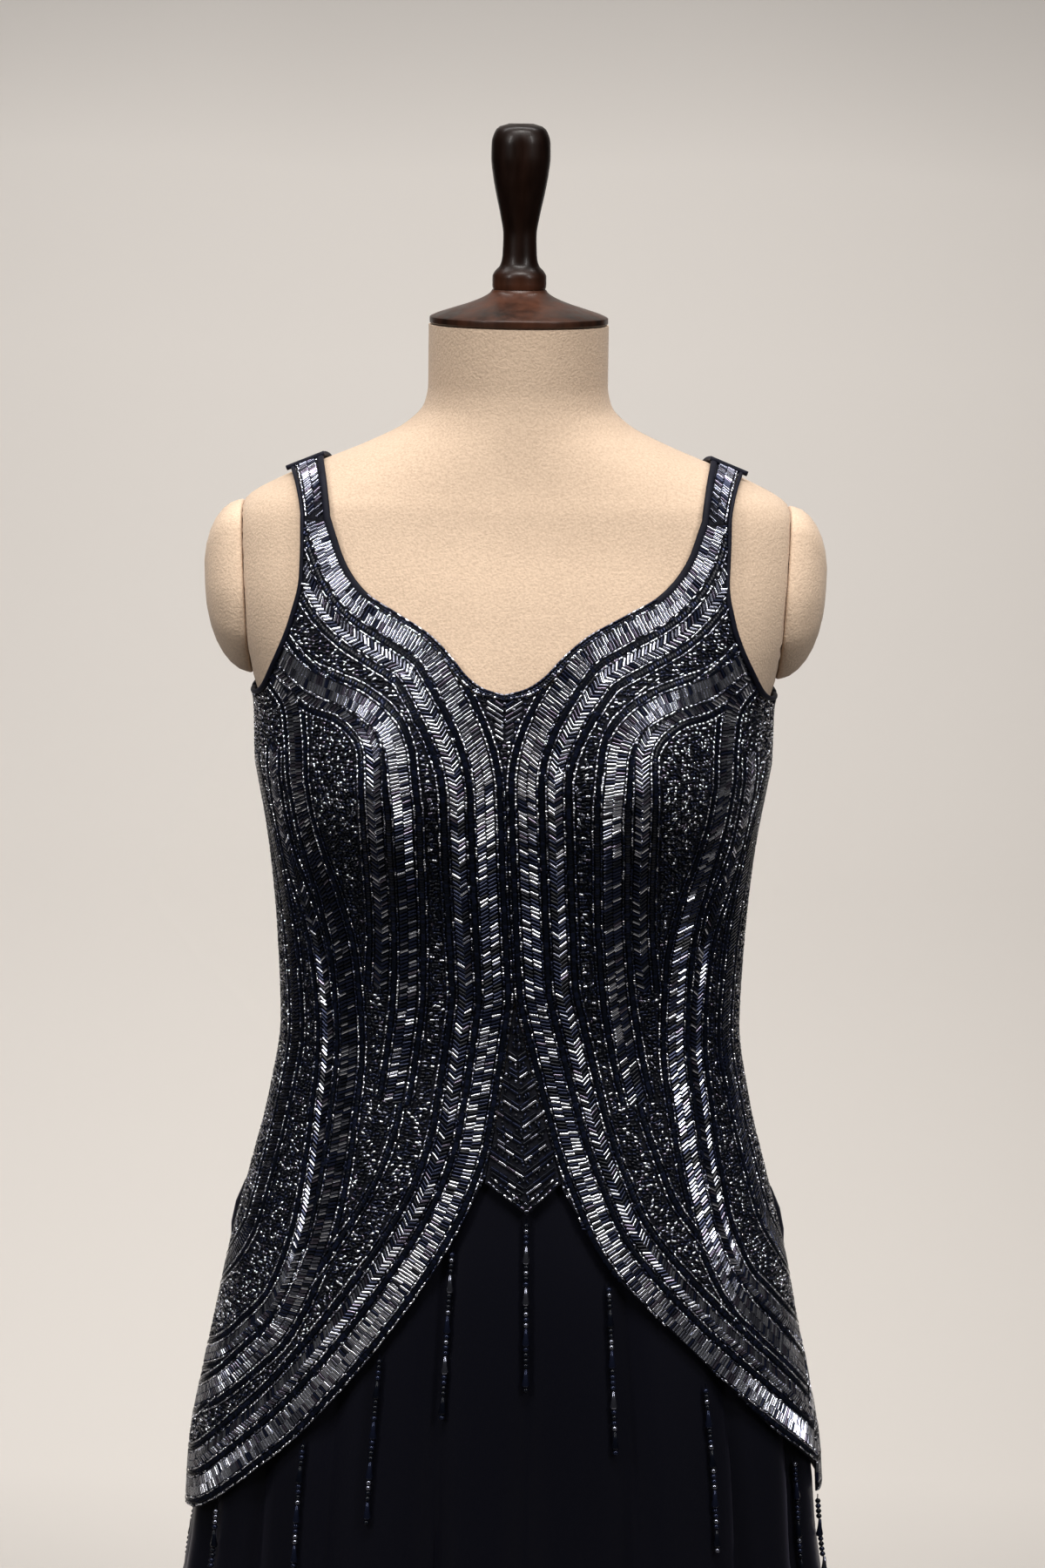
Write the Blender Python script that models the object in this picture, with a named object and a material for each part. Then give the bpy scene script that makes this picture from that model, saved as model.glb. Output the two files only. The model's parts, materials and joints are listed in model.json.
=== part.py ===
"""Beaded mermaid gown on a limbless dress form.

The gown is built the way it is sewn: a beaded bodice that reaches the hips, a small pointed
inset at the centre front of its hem, straps, plain bindings, a centre back zip, a skirt in
soft folds, and strands of beads that hang from the hem of the bodice. It rests on the
shoulders of a cloth covered form with a turned wooden cap, on a pole with a round base.

Metres, +Z up. The origin is on the floor under the middle of the form, and the front faces -Y.
"share" is a place round the body: 0 at the centre front, 1 and -1 at the sides, 2 and -2 at
the centre back, measured along the cloth. Positive shares are on the +X side.
"""
import math

import bmesh
import bpy
import numpy as np
from mathutils import Matrix, Vector

# ---------------------------------------------------------------- driving dimensions
FORM_BOTTOM = 0.760
NECK_TOP = 1.5242
BUST_HEIGHT = 1.235
BUST_APEX_X = 0.088
CUP_DEPTH = 0.019
CUP_REACH_X = 0.050
CUP_REACH_Z = 0.055
ARM_SEAM_X = 0.178          # where an arm cap meets the torso, at its middle height
ARM_SEAM_TILT = 0.060       # sideways metres for each metre of height
ARM_MIDDLE = 1.350
ARM_CAP_REACH = 0.029

BEADED_WALL = 0.0030        # beaded cloth, measured over the beads
SKIRT_WALL = 0.0012
BINDING_WALL = 0.0034
SEAM_GAP = 0.0003
FORM_GAP = 0.0020           # between the form and the cloth that lies on it
SHOULDER_LIFT = 0.0032      # more room over the slope of the shoulders
LAYER_GAP = 0.0036          # between the skirt and the bodice that hangs over it
NECK_BINDING_WIDTH = 0.0045
ARM_BINDING_WIDTH = 0.0030

STRAP_FOOT = 1.405          # height where the strap is sewn to the bodice
INSET_TOP = 1.090
INSET_NOTCH = 0.970
INSET_POINT = 0.950
INSET_SHARE = 0.110         # half width of the inset at its notches, as a share
ZIP_TOP = 1.2830
ZIP_FOOT = 0.990
ZIP_TAPE_WIDTH = 0.0060
ZIP_TAPE_WALL = 0.0012
ZIP_SINK = 0.0006           # the tape lies this far under the face of the cloth

STRAND_RADIUS = 0.0022
STRAND_LENGTH = 0.122
STRAND_DROP = 0.0055        # from the hem to the top of a strand
STRAND_LIFT = 0.0034        # from the face of the skirt to the middle of a strand

BASE_HEIGHT = 0.020
POLE_RADIUS = 0.016

# Bare form: height, half width, depth to the front, depth to the back, squareness of the oval
FORM_SECTIONS = (
    (0.760, 0.1780, 0.1150, 0.1120, 2.2),
    (0.800, 0.1820, 0.1160, 0.1180, 2.2),
    (0.850, 0.1820, 0.1150, 0.1210, 2.2),
    (0.900, 0.1760, 0.1110, 0.1150, 2.2),
    (0.950, 0.1640, 0.1050, 0.1000, 2.2),
    (1.000, 0.1510, 0.0990, 0.0850, 2.2),
    (1.055, 0.1450, 0.0950, 0.0780, 2.2),
    (1.110, 0.1480, 0.1000, 0.0830, 2.2),
    (1.170, 0.1570, 0.1100, 0.0920, 2.3),
    (1.235, 0.1693, 0.1210, 0.1010, 2.4),
    (1.270, 0.1700, 0.1212, 0.1035, 2.4),
    (1.300, 0.1775, 0.1165, 0.1045, 2.4),
    (1.325, 0.1870, 0.1095, 0.1030, 2.4),
    (1.355, 0.1920, 0.1005, 0.1000, 2.4),
    (1.394, 0.1888, 0.0868, 0.0908, 2.4),
    (1.409, 0.1788, 0.0817, 0.0862, 2.4),
    (1.421, 0.1580, 0.0765, 0.0810, 2.3),
    (1.433, 0.1300, 0.0720, 0.0760, 2.2),
    (1.445, 0.1010, 0.0680, 0.0710, 2.1),
    (1.459, 0.0740, 0.0640, 0.0660, 2.0),
    (1.472, 0.0620, 0.0610, 0.0620, 2.0),
    (1.485, 0.0595, 0.0595, 0.0595, 2.0),
    (1.530, 0.0595, 0.0595, 0.0595, 2.0),
)

# Outside of the bodice under the bust, with its beads: the same columns
GOWN_SECTIONS = (
    (0.690, 0.2240, 0.1370, 0.1440, 2.2),
    (0.750, 0.2205, 0.1355, 0.1420, 2.2),
    (0.800, 0.2115, 0.1330, 0.1390, 2.2),
    (0.850, 0.2010, 0.1300, 0.1350, 2.2),
    (0.900, 0.1905, 0.1260, 0.1280, 2.2),
    (0.950, 0.1775, 0.1190, 0.1140, 2.2),
    (1.000, 0.1650, 0.1110, 0.0980, 2.2),
    (1.055, 0.1570, 0.1040, 0.0880, 2.2),
    (1.110, 0.1590, 0.1090, 0.0910, 2.2),
    (1.170, 0.1640, 0.1175, 0.0985, 2.3),
    (1.235, 0.1743, 0.1260, 0.1060, 2.4),
)

# Outside of the skirt below the hem of the bodice: the same columns
SKIRT_SECTIONS = (
    (0.020, 0.4470, 0.3570, 0.4020, 2.0),
    (0.080, 0.4180, 0.3300, 0.3700, 2.0),
    (0.150, 0.3700, 0.2850, 0.3200, 2.0),
    (0.250, 0.3050, 0.2250, 0.2500, 2.05),
    (0.340, 0.2620, 0.1800, 0.1960, 2.1),
    (0.420, 0.2400, 0.1560, 0.1660, 2.15),
    (0.500, 0.2330, 0.1460, 0.1550, 2.2),
    (0.600, 0.2310, 0.1410, 0.1490, 2.2),
    (0.655, 0.2255, 0.1365, 0.1440, 2.2),
    (0.690, 0.2200, 0.1322, 0.1394, 2.2),
    (0.740, 0.2152, 0.1296, 0.1362, 2.2),
)

# Where the body turns from upright to sloping: height, 0 to 1
SHOULDER_SLOPE = ((1.360, 0.0), (1.415, 1.0), (1.450, 1.0))

# How far the centre front line of the worn gown drifts to +X: height, drift
FRONT_DRIFT = ((0.950, 0.013), (1.090, 0.003), (1.200, -0.003), (1.300, -0.006), (1.385, 0.0))

# Hem of the bodice front: share, height on the -X side, height on the +X side
FRONT_HEM = (
    (0.110, 0.9750, 0.9660),
    (0.200, 0.9250, 0.9200),
    (0.385, 0.8440, 0.8620),
    (0.580, 0.7745, 0.8120),
    (0.840, 0.7160, 0.7560),
    (1.000, 0.7030, 0.7300),
)

# Hem of the bodice back: share, height
BACK_HEM = ((0.80, 0.7300), (1.00, 0.7250), (1.30, 0.7300), (1.60, 0.7560), (1.85, 0.8000), (2.00, 0.8350))

# Side edges of the bodice: height, front at -X, back at -X, front at +X, back at +X.
# Front and back share an edge where they are sewn, and part at the vent over the hip.
SIDE_EDGES = (
    (0.690, 1.000, 1.002, 0.880, 0.884),
    (0.770, 1.000, 1.002, 0.885, 0.889),
    (0.790, 1.000, 1.006, 0.890, 0.895),
    (0.820, 1.000, 1.060, 0.930, 1.010),
    (0.838, 1.000, 1.105, 0.955, 1.085),
    (0.865, 1.000, 1.155, 0.990, 1.150),
    (0.930, 1.000, 1.165, 1.000, 1.165),
    (0.960, 1.000, 1.090, 1.000, 1.090),
    (0.990, 1.000, 1.000, 1.000, 1.000),
    (1.300, 1.000, 1.000, 1.000, 1.000),
)

# Finished edges of the upper bodice: height, x. The last row is on the shoulder line.
NECKLINE_FRONT = (
    (1.2965, 0.0000),
    (1.3000, 0.0125),
    (1.3080, 0.0245),
    (1.3190, 0.0345),
    (1.3330, 0.0500),
    (1.3460, 0.0730),
    (1.3587, 0.0950),
    (1.3770, 0.1100),
    (1.4050, 0.1208),
)
NECKLINE_BACK = (
    (1.2900, 0.0000),
    (1.2960, 0.0280),
    (1.3200, 0.0600),
    (1.3550, 0.0930),
    (1.3800, 0.1100),
    (1.4050, 0.1195),
)
ARMHOLE_FRONT = (
    (1.2800, 0.1790),
    (1.2880, 0.1685),
    (1.3060, 0.1588),
    (1.3385, 0.1455),
    (1.3670, 0.1400),
    (1.4050, 0.1405),
)
ARMHOLE_BACK = (
    (1.2800, 0.1790),
    (1.2900, 0.1680),
    (1.3100, 0.1580),
    (1.3400, 0.1480),
    (1.3700, 0.1430),
    (1.4050, 0.1430),
)
NECKLINE_SHOULDER_X = 0.1290
ARMHOLE_SHOULDER_X = 0.1505

# Soft folds of the skirt: share of each crease, how deep it is against the others
SKIRT_CREASES = (
    (-1.80, 0.9), (-1.58, 1.1), (-1.36, 0.8), (-1.15, 1.0), (-0.97, 0.7),
    (-0.80, 0.9), (-0.62, 1.1), (-0.44, 0.8), (-0.17, 1.2), (0.06, 1.0),
    (0.32, 1.2), (0.59, 0.9), (0.80, 1.1), (0.98, 0.7), (1.17, 1.0),
    (1.39, 0.9), (1.61, 1.1), (1.82, 0.8), (2.00, 1.0),
)
# height, depth of a crease, half width of a crease as a share
FOLD_SIZES = (
    (0.025, 0.0360, 0.090),
    (0.250, 0.0220, 0.075),
    (0.450, 0.0110, 0.055),
    (0.660, 0.0070, 0.042),
    (0.850, 0.0035, 0.036),
    (1.005, 0.0000, 0.036),
)
# Stretch of skirt that stands out through each vent: height, how far it stands out
VENT_BULGE = ((0.868, 0.0), (0.890, 0.0090), (0.910, 0.0115), (0.925, 0.0100), (0.950, 0.0))
VENT_BULGE_SHARE = 1.080
VENT_BULGE_WIDTH = 0.034

# Strands of beads: shares of the ones on the front and on the back
FRONT_STRANDS = (-0.76, -0.525, -0.355, -0.19, 0.0, 0.235, 0.495, 0.805)
BACK_STRANDS = (0.905, 1.22, 1.46, 1.72, 1.94, -1.10, -1.34, -1.60, -1.84)

# Turned wood: height over the seat of the piece, radius
CAP_PROFILE = (
    (0.0000, 0.0575), (0.0015, 0.0590), (0.0045, 0.0590), (0.0068, 0.0550),
    (0.0100, 0.0455), (0.0140, 0.0330), (0.0180, 0.0235), (0.0210, 0.0190), (0.0228, 0.0178),
)
KNOB_PROFILE = (
    (0.0000, 0.0172), (0.0020, 0.0178), (0.0085, 0.0178), (0.0120, 0.0160), (0.0155, 0.0128),
    (0.0220, 0.0114), (0.0350, 0.0110), (0.0480, 0.0130), (0.0610, 0.0158), (0.0740, 0.0182),
    (0.0860, 0.0195), (0.0950, 0.0193), (0.1030, 0.0168), (0.1075, 0.0110),
)
BASE_PROFILE = ((0.0000, 0.1640), (0.0030, 0.1700), (0.0090, 0.1700), (0.0150, 0.1500), (0.0200, 0.0600))

# Zip slider and pull, seen from the back
SLIDER_WIDTH = 0.0064
SLIDER_LENGTH = 0.0100
SLIDER_DEPTH = 0.0024
SLIDER_HEIGHT = 1.2720
LUG_THICKNESS = 0.0010
LUG_HALF_HEIGHT = 0.0018
LUG_SINK = 0.0002           # how far the lugs start inside the slider
PIN_RADIUS = 0.0006
PIN_LIFT = 0.0026           # from the face of the slider to the axis of its pin
EYE_BORE = 0.0011
EYE_RADIUS = 0.0020
EYE_SIDES = 20
PULL_WIDTH = 0.0034
PULL_THICKNESS = 0.0012
PULL_LENGTH = 0.0240

TORSO_HEIGHTS = (
    0.760, 0.805, 0.850, 0.900, 0.950, 1.000, 1.055, 1.090, 1.125, 1.160, 1.190, 1.220, 1.247,
    1.268, 1.290, 1.312, 1.343, 1.375, 1.402, 1.414, 1.424, 1.433, 1.442, 1.451, 1.460, 1.470,
    1.485, 1.5242,
)
TORSO_COLUMNS = 44
EDGE_STEPS = 10              # rows of a panel beside its neckline and armhole
STRAP_STEPS = 13
PANEL_COLUMNS = 11
LOWER_STEPS = 10             # rows of a panel from its hem to the top of the inset
FLAT_HEIGHTS = (1.125, 1.160, 1.190, 1.220, 1.247)

SKIRT_HEIGHTS = (             # rows of the skirt from its hem to its top
    0.025, 0.080, 0.150, 0.230, 0.320, 0.410, 0.500, 0.600, 0.680, 0.740, 0.790, 0.830, 0.862,
    0.890, 0.925, 0.950, 0.978, 1.005,
)

NAVY_BEADS = ("beaded_navy", (0.020, 0.026, 0.050, 1.0), 0.30, 0.35)
NAVY_SATIN = ("navy_satin", (0.006, 0.006, 0.014, 1.0), 0.50, 0.0)
NAVY_BINDING = ("navy_binding", (0.008, 0.009, 0.020, 1.0), 0.60, 0.0)
BEAD_GLASS = ("glass_bead", (0.015, 0.020, 0.045, 1.0), 0.15, 0.4)
FORM_SUEDE = ("form_suede", (0.740, 0.610, 0.450, 1.0), 0.90, 0.0)
DARK_WOOD = ("dark_wood", (0.045, 0.018, 0.010, 1.0), 0.25, 0.0)
ZIP_METAL = ("zip_metal", (0.060, 0.065, 0.090, 1.0), 0.30, 0.9)


# ---------------------------------------------------------------- curves and sections
def smooth(rows, column, place):
    """Read a column of a table at a place in its first column, on a curve with no overshoot."""
    table = np.array(rows, dtype=float)
    x, y = table[:, 0], table[:, column]
    slope = np.diff(y) / np.diff(x)
    tangent = np.zeros(len(x))
    tangent[0], tangent[-1] = slope[0], slope[-1]
    rising = slope[:-1] * slope[1:] > 0
    mean = 2 * slope[:-1] * slope[1:] / np.where(rising, slope[:-1] + slope[1:], 1.0)
    tangent[1:-1] = np.where(rising, mean, 0.0)
    spot = np.clip(place, x[0], x[-1])
    i = np.clip(np.searchsorted(x, spot) - 1, 0, len(x) - 2)
    width = x[i + 1] - x[i]
    t = (spot - x[i]) / width
    return ((2 * t ** 3 - 3 * t ** 2 + 1) * y[i] + (t ** 3 - 2 * t ** 2 + t) * width * tangent[i]
            + (3 * t ** 2 - 2 * t ** 3) * y[i + 1] + (t ** 3 - t ** 2) * width * tangent[i + 1])


def form_section(height):
    return [float(smooth(FORM_SECTIONS, column, height)) for column in (1, 2, 3, 4)]


def gown_section(height):
    if height < BUST_HEIGHT:
        return [float(smooth(GOWN_SECTIONS, column, height)) for column in (1, 2, 3, 4)]
    ease = BEADED_WALL + FORM_GAP
    lift = SHOULDER_LIFT * float(smooth(SHOULDER_SLOPE, 1, height))
    half, fore, aft, power = form_section(height - lift)
    return [half + ease, fore + ease, aft + ease, power]


def skirt_section(height):
    """Face of the skirt without its folds: inside the bodice, then on its own below it."""
    tuck = BEADED_WALL + LAYER_GAP
    bodice_end = SKIRT_SECTIONS[-1][0]
    if height >= bodice_end:
        half, fore, aft, power = gown_section(height)
        return [half - tuck, fore - tuck, aft - tuck, power]
    return [float(smooth(SKIRT_SECTIONS, column, height)) for column in (1, 2, 3, 4)]


def cup(x, height):
    """How far a cup of the bodice, or of the form, stands out to the front."""
    across = np.exp(-((np.abs(x) - BUST_APEX_X) / CUP_REACH_X) ** 2)
    return CUP_DEPTH * across * math.exp(-((height - BUST_HEIGHT) / CUP_REACH_Z) ** 2)


def quarter_outline(section, height, front):
    """A quarter of a cross section, from the centre line to the side, with its walked share."""
    half, fore, aft, power = section(height)
    angle = np.linspace(0.0, math.pi / 2, 97)
    x = half * np.sin(angle) ** (2 / power)
    depth = (fore if front else aft) * np.cos(angle) ** (2 / power)
    if front:
        depth = depth + cup(x, height) * np.cos(angle) ** 0.5
    walk = np.concatenate(([0.0], np.cumsum(np.hypot(np.diff(x), np.diff(depth)))))
    return x, depth, walk


def on_section(section, share, height):
    """The point of a section at a share round the body."""
    share = (share + 2.0) % 4.0 - 2.0
    side = -1.0 if share < 0 else 1.0
    front = abs(share) <= 1.0
    x, depth, walk = quarter_outline(section, height, front)
    place = (abs(share) if front else 2.0 - abs(share)) * walk[-1]
    across = np.interp(place, walk, x)
    out = np.interp(place, walk, depth)
    return Vector((side * across, -out if front else out, height))


def normal_of(section, share, height):
    """Outward direction of the cloth at a share and height."""
    step = 0.012
    rise = 0.004
    along = on_section(section, share + step, height) - on_section(section, share - step, height)
    up = on_section(section, share, height + rise) - on_section(section, share, height - rise)
    return along.cross(up).normalized()


def cloth(section, share, height):
    """Point and outward direction of the cloth, as a sheet's grid holds them."""
    return on_section(section, share, height), normal_of(section, share, height)


def depth_at(section, x, height, front=True):
    """Distance of a face from the middle plane at a given x, or 0 outside the outline."""
    xs, depth, _ = quarter_outline(section, height, front)
    return float(np.interp(abs(x), xs, depth, right=0.0))


def share_at(section, x, height, front=True):
    xs, _, walk = quarter_outline(section, height, front)
    walked = float(np.interp(abs(x), xs, walk)) / walk[-1]
    return walked if front else 2.0 - walked


def drifted(share, height):
    """A share of the gown moved with its centre front line, and not at all at the sides."""
    if abs(share) >= 1.0:
        return share
    _, _, walk = quarter_outline(gown_section, height, True)
    return share + float(smooth(FRONT_DRIFT, 1, height)) / walk[-1] * (1.0 - abs(share))


def over_shoulder(section, x, angle):
    """The point of a face at x, seen from inside the chest at an angle from straight up.

    Angles are negative to the front and positive to the back.
    """
    heart = 1.330
    low, high = 0.0, 0.160
    for _ in range(36):
        reach = (low + high) / 2
        y, z = reach * math.sin(angle), heart + reach * math.cos(angle)
        inside = abs(y) < depth_at(section, x, z, angle < 0)
        low, high = (reach, high) if inside else (low, reach)
    return Vector((x, low * math.sin(angle), heart + low * math.cos(angle)))


def over_cloth(section, x, angle):
    """Point and outward direction of the cloth near the shoulder."""
    along = over_shoulder(section, x + 0.003, angle) - over_shoulder(section, x - 0.003, angle)
    back = over_shoulder(section, x, angle + 0.03) - over_shoulder(section, x, angle - 0.03)
    return over_shoulder(section, x, angle), along.cross(back).normalized()


def mirrored(spot, side):
    """A point and its normal on the +X side, or their mirror image."""
    return tuple(Vector((side * v.x, v.y, v.z)) for v in spot)


def shoulder_angle(section, x, height, front):
    depth = depth_at(section, x, height, front)
    return math.atan2(-depth if front else depth, height - 1.330)


# ---------------------------------------------------------------- making objects
def material(look):
    name, colour, roughness, metallic = look
    found = bpy.data.materials.get(name)
    if found:
        return found
    made = bpy.data.materials.new(name)
    made.use_nodes = True
    shader = made.node_tree.nodes["Principled BSDF"]
    shader.inputs["Base Color"].default_value = colour
    shader.inputs["Roughness"].default_value = roughness
    shader.inputs["Metallic"].default_value = metallic
    made.diffuse_color = colour
    return made


def new_object(name, mesh, look, smooth_angle=50.0):
    mesh.materials.append(material(look))
    mesh.shade_smooth()
    mesh.set_sharp_from_angle(angle=math.radians(smooth_angle))
    made = bpy.data.objects.new(name, mesh)
    bpy.context.collection.objects.link(made)
    return made


def mesh_from(name, points, faces):
    mesh = bpy.data.meshes.new(name)
    mesh.from_pydata([tuple(p) for p in points], [], faces)
    mesh.update()
    return mesh


def grid_faces(rows, columns, start=0, closed=False):
    """Quads of a grid whose columns run round the body in the direction of the share."""
    faces = []
    last = columns if closed else columns - 1
    for r in range(rows - 1):
        for c in range(last):
            a = start + r * columns + c
            b = start + r * columns + (c + 1) % columns
            faces.append((a, b, b + columns, a + columns))
    return faces


def short_triangles(corners, points):
    """A facet as triangles, split on its shorter diagonal so that it stays close to the curve."""
    if len(corners) < 4:
        return [corners] if len(corners) == 3 else []
    a, b, c, d = corners
    if (points[a] - points[c]).length <= (points[b] - points[d]).length:
        return [(a, b, c), (a, c, d)]
    return [(a, b, d), (b, c, d)]


def sheet_from_grids(name, grids, look, wall):
    """A closed wall of cloth from grids of (point, outward normal) that may share edge points."""
    faces, outer, inner, seen = [], [], [], {}
    for grid in grids:
        numbers = []
        for row in grid:
            for point, normal in row:
                key = tuple(round(value * 20000) for value in point)
                if key not in seen:
                    seen[key] = len(outer)
                    outer.append(point)
                    inner.append(point - wall * normal)
                numbers.append(seen[key])
        for face in grid_faces(len(grid), len(grid[0])):
            corners = tuple(dict.fromkeys(numbers[i] for i in face))
            faces += short_triangles(corners, outer)
    directed = {(a, b) for face in faces for a, b in zip(face, face[1:] + face[:1])}
    count = len(outer)
    back = [tuple(i + count for i in reversed(face)) for face in faces]
    rim = [(b, a, a + count, b + count) for a, b in directed if (b, a) not in directed]
    mesh = mesh_from(name, outer + inner, faces + back + sorted(rim))
    return new_object(name, mesh, look)


def turned(name, profile, seat, look, segments=36):
    """A turned solid from rows of height and radius over its seat, closed at both ends."""
    shape = bmesh.new()
    outline = [(0.0, profile[0][0])] + [(radius, height) for height, radius in profile]
    outline.append((0.0, profile[-1][0]))
    verts = [shape.verts.new((radius, 0.0, seat + height)) for radius, height in outline]
    edges = [shape.edges.new(pair) for pair in zip(verts, verts[1:])]
    bmesh.ops.spin(shape, geom=verts + edges, cent=(0, 0, 0), axis=(0, 0, 1),
                   angle=2 * math.pi, steps=segments, use_merge=True)
    bmesh.ops.remove_doubles(shape, verts=shape.verts, dist=1e-5)
    bmesh.ops.recalc_face_normals(shape, faces=shape.faces)
    mesh = bpy.data.meshes.new(name)
    shape.to_mesh(mesh)
    shape.free()
    return new_object(name, mesh, look, 35.0)


# ---------------------------------------------------------------- dress form
def arm_seam_x(height):
    return ARM_SEAM_X + ARM_SEAM_TILT * (height - ARM_MIDDLE)


def form_torso():
    """Neck, shoulders and body of the form, cut flat where the arm caps sit."""
    rings = []
    for height in TORSO_HEIGHTS:
        ring = []
        for column in range(TORSO_COLUMNS):
            point = on_section(form_section, 4 * column / TORSO_COLUMNS - 2, height)
            limit = arm_seam_x(height)
            point.x = max(-limit, min(limit, point.x))
            ring.append(point)
        rings.append(ring)
    points = [point for ring in rings for point in ring]
    faces = grid_faces(len(rings), TORSO_COLUMNS, closed=True)
    faces.append(tuple(reversed(range(TORSO_COLUMNS))))
    faces.append(tuple(range(len(points) - TORSO_COLUMNS, len(points))))
    return new_object("form_torso", mesh_from("form_torso", points, faces), FORM_SUEDE)


def arm_outline(count):
    """Edge of the flat on the side of the torso, as (y, z) round its middle."""
    outline = []
    for step in range(count):
        angle = 2 * math.pi * step / count
        low, high = 0.0, 0.120
        for _ in range(34):
            reach = (low + high) / 2
            y, z = -reach * math.sin(angle), ARM_MIDDLE + reach * math.cos(angle)
            inside = abs(y) < depth_at(form_section, arm_seam_x(z), z, y < 0)
            low, high = (reach, high) if inside else (low, reach)
        outline.append((-low * math.sin(angle), ARM_MIDDLE + low * math.cos(angle)))
    return outline


def form_arm_cap(name, side):
    """Short rounded stub at a shoulder, domed out from its seam."""
    count, domes = 28, (0.0, 0.35, 0.62, 0.82, 0.94)
    outline = arm_outline(count)
    points = []
    for rise in domes:
        spread = (1 - rise ** 2.4) ** (1 / 2.4)
        for y, z in outline:
            inner_z = ARM_MIDDLE + spread * (z - ARM_MIDDLE)
            x = arm_seam_x(inner_z) + SEAM_GAP + ARM_CAP_REACH * rise
            points.append((side * x, y * spread, inner_z))
    points.append((side * (arm_seam_x(ARM_MIDDLE) + SEAM_GAP + ARM_CAP_REACH), 0.0, ARM_MIDDLE))
    pole = len(points) - 1
    faces = grid_faces(len(domes), count, closed=True)
    last = (len(domes) - 1) * count
    faces += [(last + i, last + (i + 1) % count, pole) for i in range(count)]
    faces.append(tuple(reversed(range(count))))
    if side < 0:
        faces = [tuple(reversed(face)) for face in faces]
    return new_object(name, mesh_from(name, points, faces), FORM_SUEDE)


def stand_pole():
    mesh = bpy.data.meshes.new("stand_pole")
    shape = bmesh.new()
    length = FORM_BOTTOM - BASE_HEIGHT - 2 * SEAM_GAP
    lift = Matrix.Translation((0, 0, BASE_HEIGHT + SEAM_GAP + length / 2))
    bmesh.ops.create_cone(shape, cap_ends=True, segments=24, radius1=POLE_RADIUS,
                          radius2=POLE_RADIUS, depth=length, matrix=lift)
    shape.to_mesh(mesh)
    shape.free()
    return new_object("stand_pole", mesh, DARK_WOOD)


# ---------------------------------------------------------------- bodice
def hem_front(share):
    """Height of the front hem at a signed share of the gown."""
    return float(smooth(FRONT_HEM, 1 if share < 0 else 2, abs(share)))


def side_edge(height, side, front):
    column = {(-1, True): 1, (-1, False): 2, (1, True): 3, (1, False): 4}[(side, front)]
    return float(smooth(SIDE_EDGES, column, height))


def inset_edge(height):
    """Share from the centre front to the seam of the inset."""
    fall = (INSET_TOP - height) / (INSET_TOP - INSET_NOTCH)
    return INSET_SHARE * max(0.0, min(1.0, fall))


def share_gap(height, width=SEAM_GAP, front=True):
    """Half of a gap in the cloth, as a share."""
    _, _, walk = quarter_outline(gown_section, height, front)
    return 0.5 * width / walk[-1]


def edge_walk(rows, front, width, outward, count):
    """Places spaced evenly along an edge of the upper bodice, as (share, height).

    width is how far the edge lies in from the finished edge: down, and away from the
    neckline when outward is 1, or away from the armhole when it is -1.
    """
    table = [(i, z - 0.8 * width, x + (0.9 * outward * width if i else 0.0))
             for i, (z, x) in enumerate(rows)]
    spots = np.linspace(0.0, len(rows) - 1.0, 90)
    heights = smooth(table, 1, spots)
    places = [(share_at(gown_section, float(x), float(z), front), float(z))
              for z, x in zip(heights, smooth(table, 2, spots))]
    points = [on_section(gown_section, *place) for place in places]
    walked = np.cumsum([0.0] + [(b - a).length for a, b in zip(points, points[1:])])
    steps = np.linspace(0.0, walked[-1], count)
    shares = np.interp(steps, walked, [share for share, _ in places])
    return list(zip(shares, np.interp(steps, walked, [height for _, height in places])))


def upper_rows(side, front, columns):
    """Rows of a panel from its armhole and neckline up to the foot of the strap."""
    neck = NECKLINE_FRONT if front else NECKLINE_BACK
    arm = ARMHOLE_FRONT if front else ARMHOLE_BACK
    inner = edge_walk(neck, front, NECK_BINDING_WIDTH + SEAM_GAP, 1, EDGE_STEPS)
    outer = edge_walk(arm, front, ARM_BINDING_WIDTH + SEAM_GAP, -1, EDGE_STEPS)
    rows = []
    for (first, low), (last, high) in zip(inner, outer):
        if front:
            last = min(last, 1.0 - share_gap(high))
        else:
            first = min(first, 2.0 - centre_back_gap(low))
            last = max(last, 1.0 + share_gap(high))
        row = []
        for column in range(columns + 1):
            along = column / columns
            height = low + (high - low) * along
            share = side * (first + (last - first) * along)
            row.append(cloth(gown_section, drifted(share, height), height))
        rows.append(row)
    return rows


def last_full_row(side, centre, edge, columns):
    """The row under the armhole, which dips from the centre line to the side."""
    middle_height, side_height = 1.2720, 1.2640
    row = []
    for column in range(columns + 1):
        along = column / columns
        height = middle_height + (side_height - middle_height) * along
        low = centre + (centre_back_gap(height) * -1 if centre > 1 else 0.0)
        high = edge + share_gap(height) * (1 if centre > 1 else -1)
        share = side * (low + (high - low) * along)
        row.append(cloth(gown_section, drifted(share, height), height))
    return row


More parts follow.
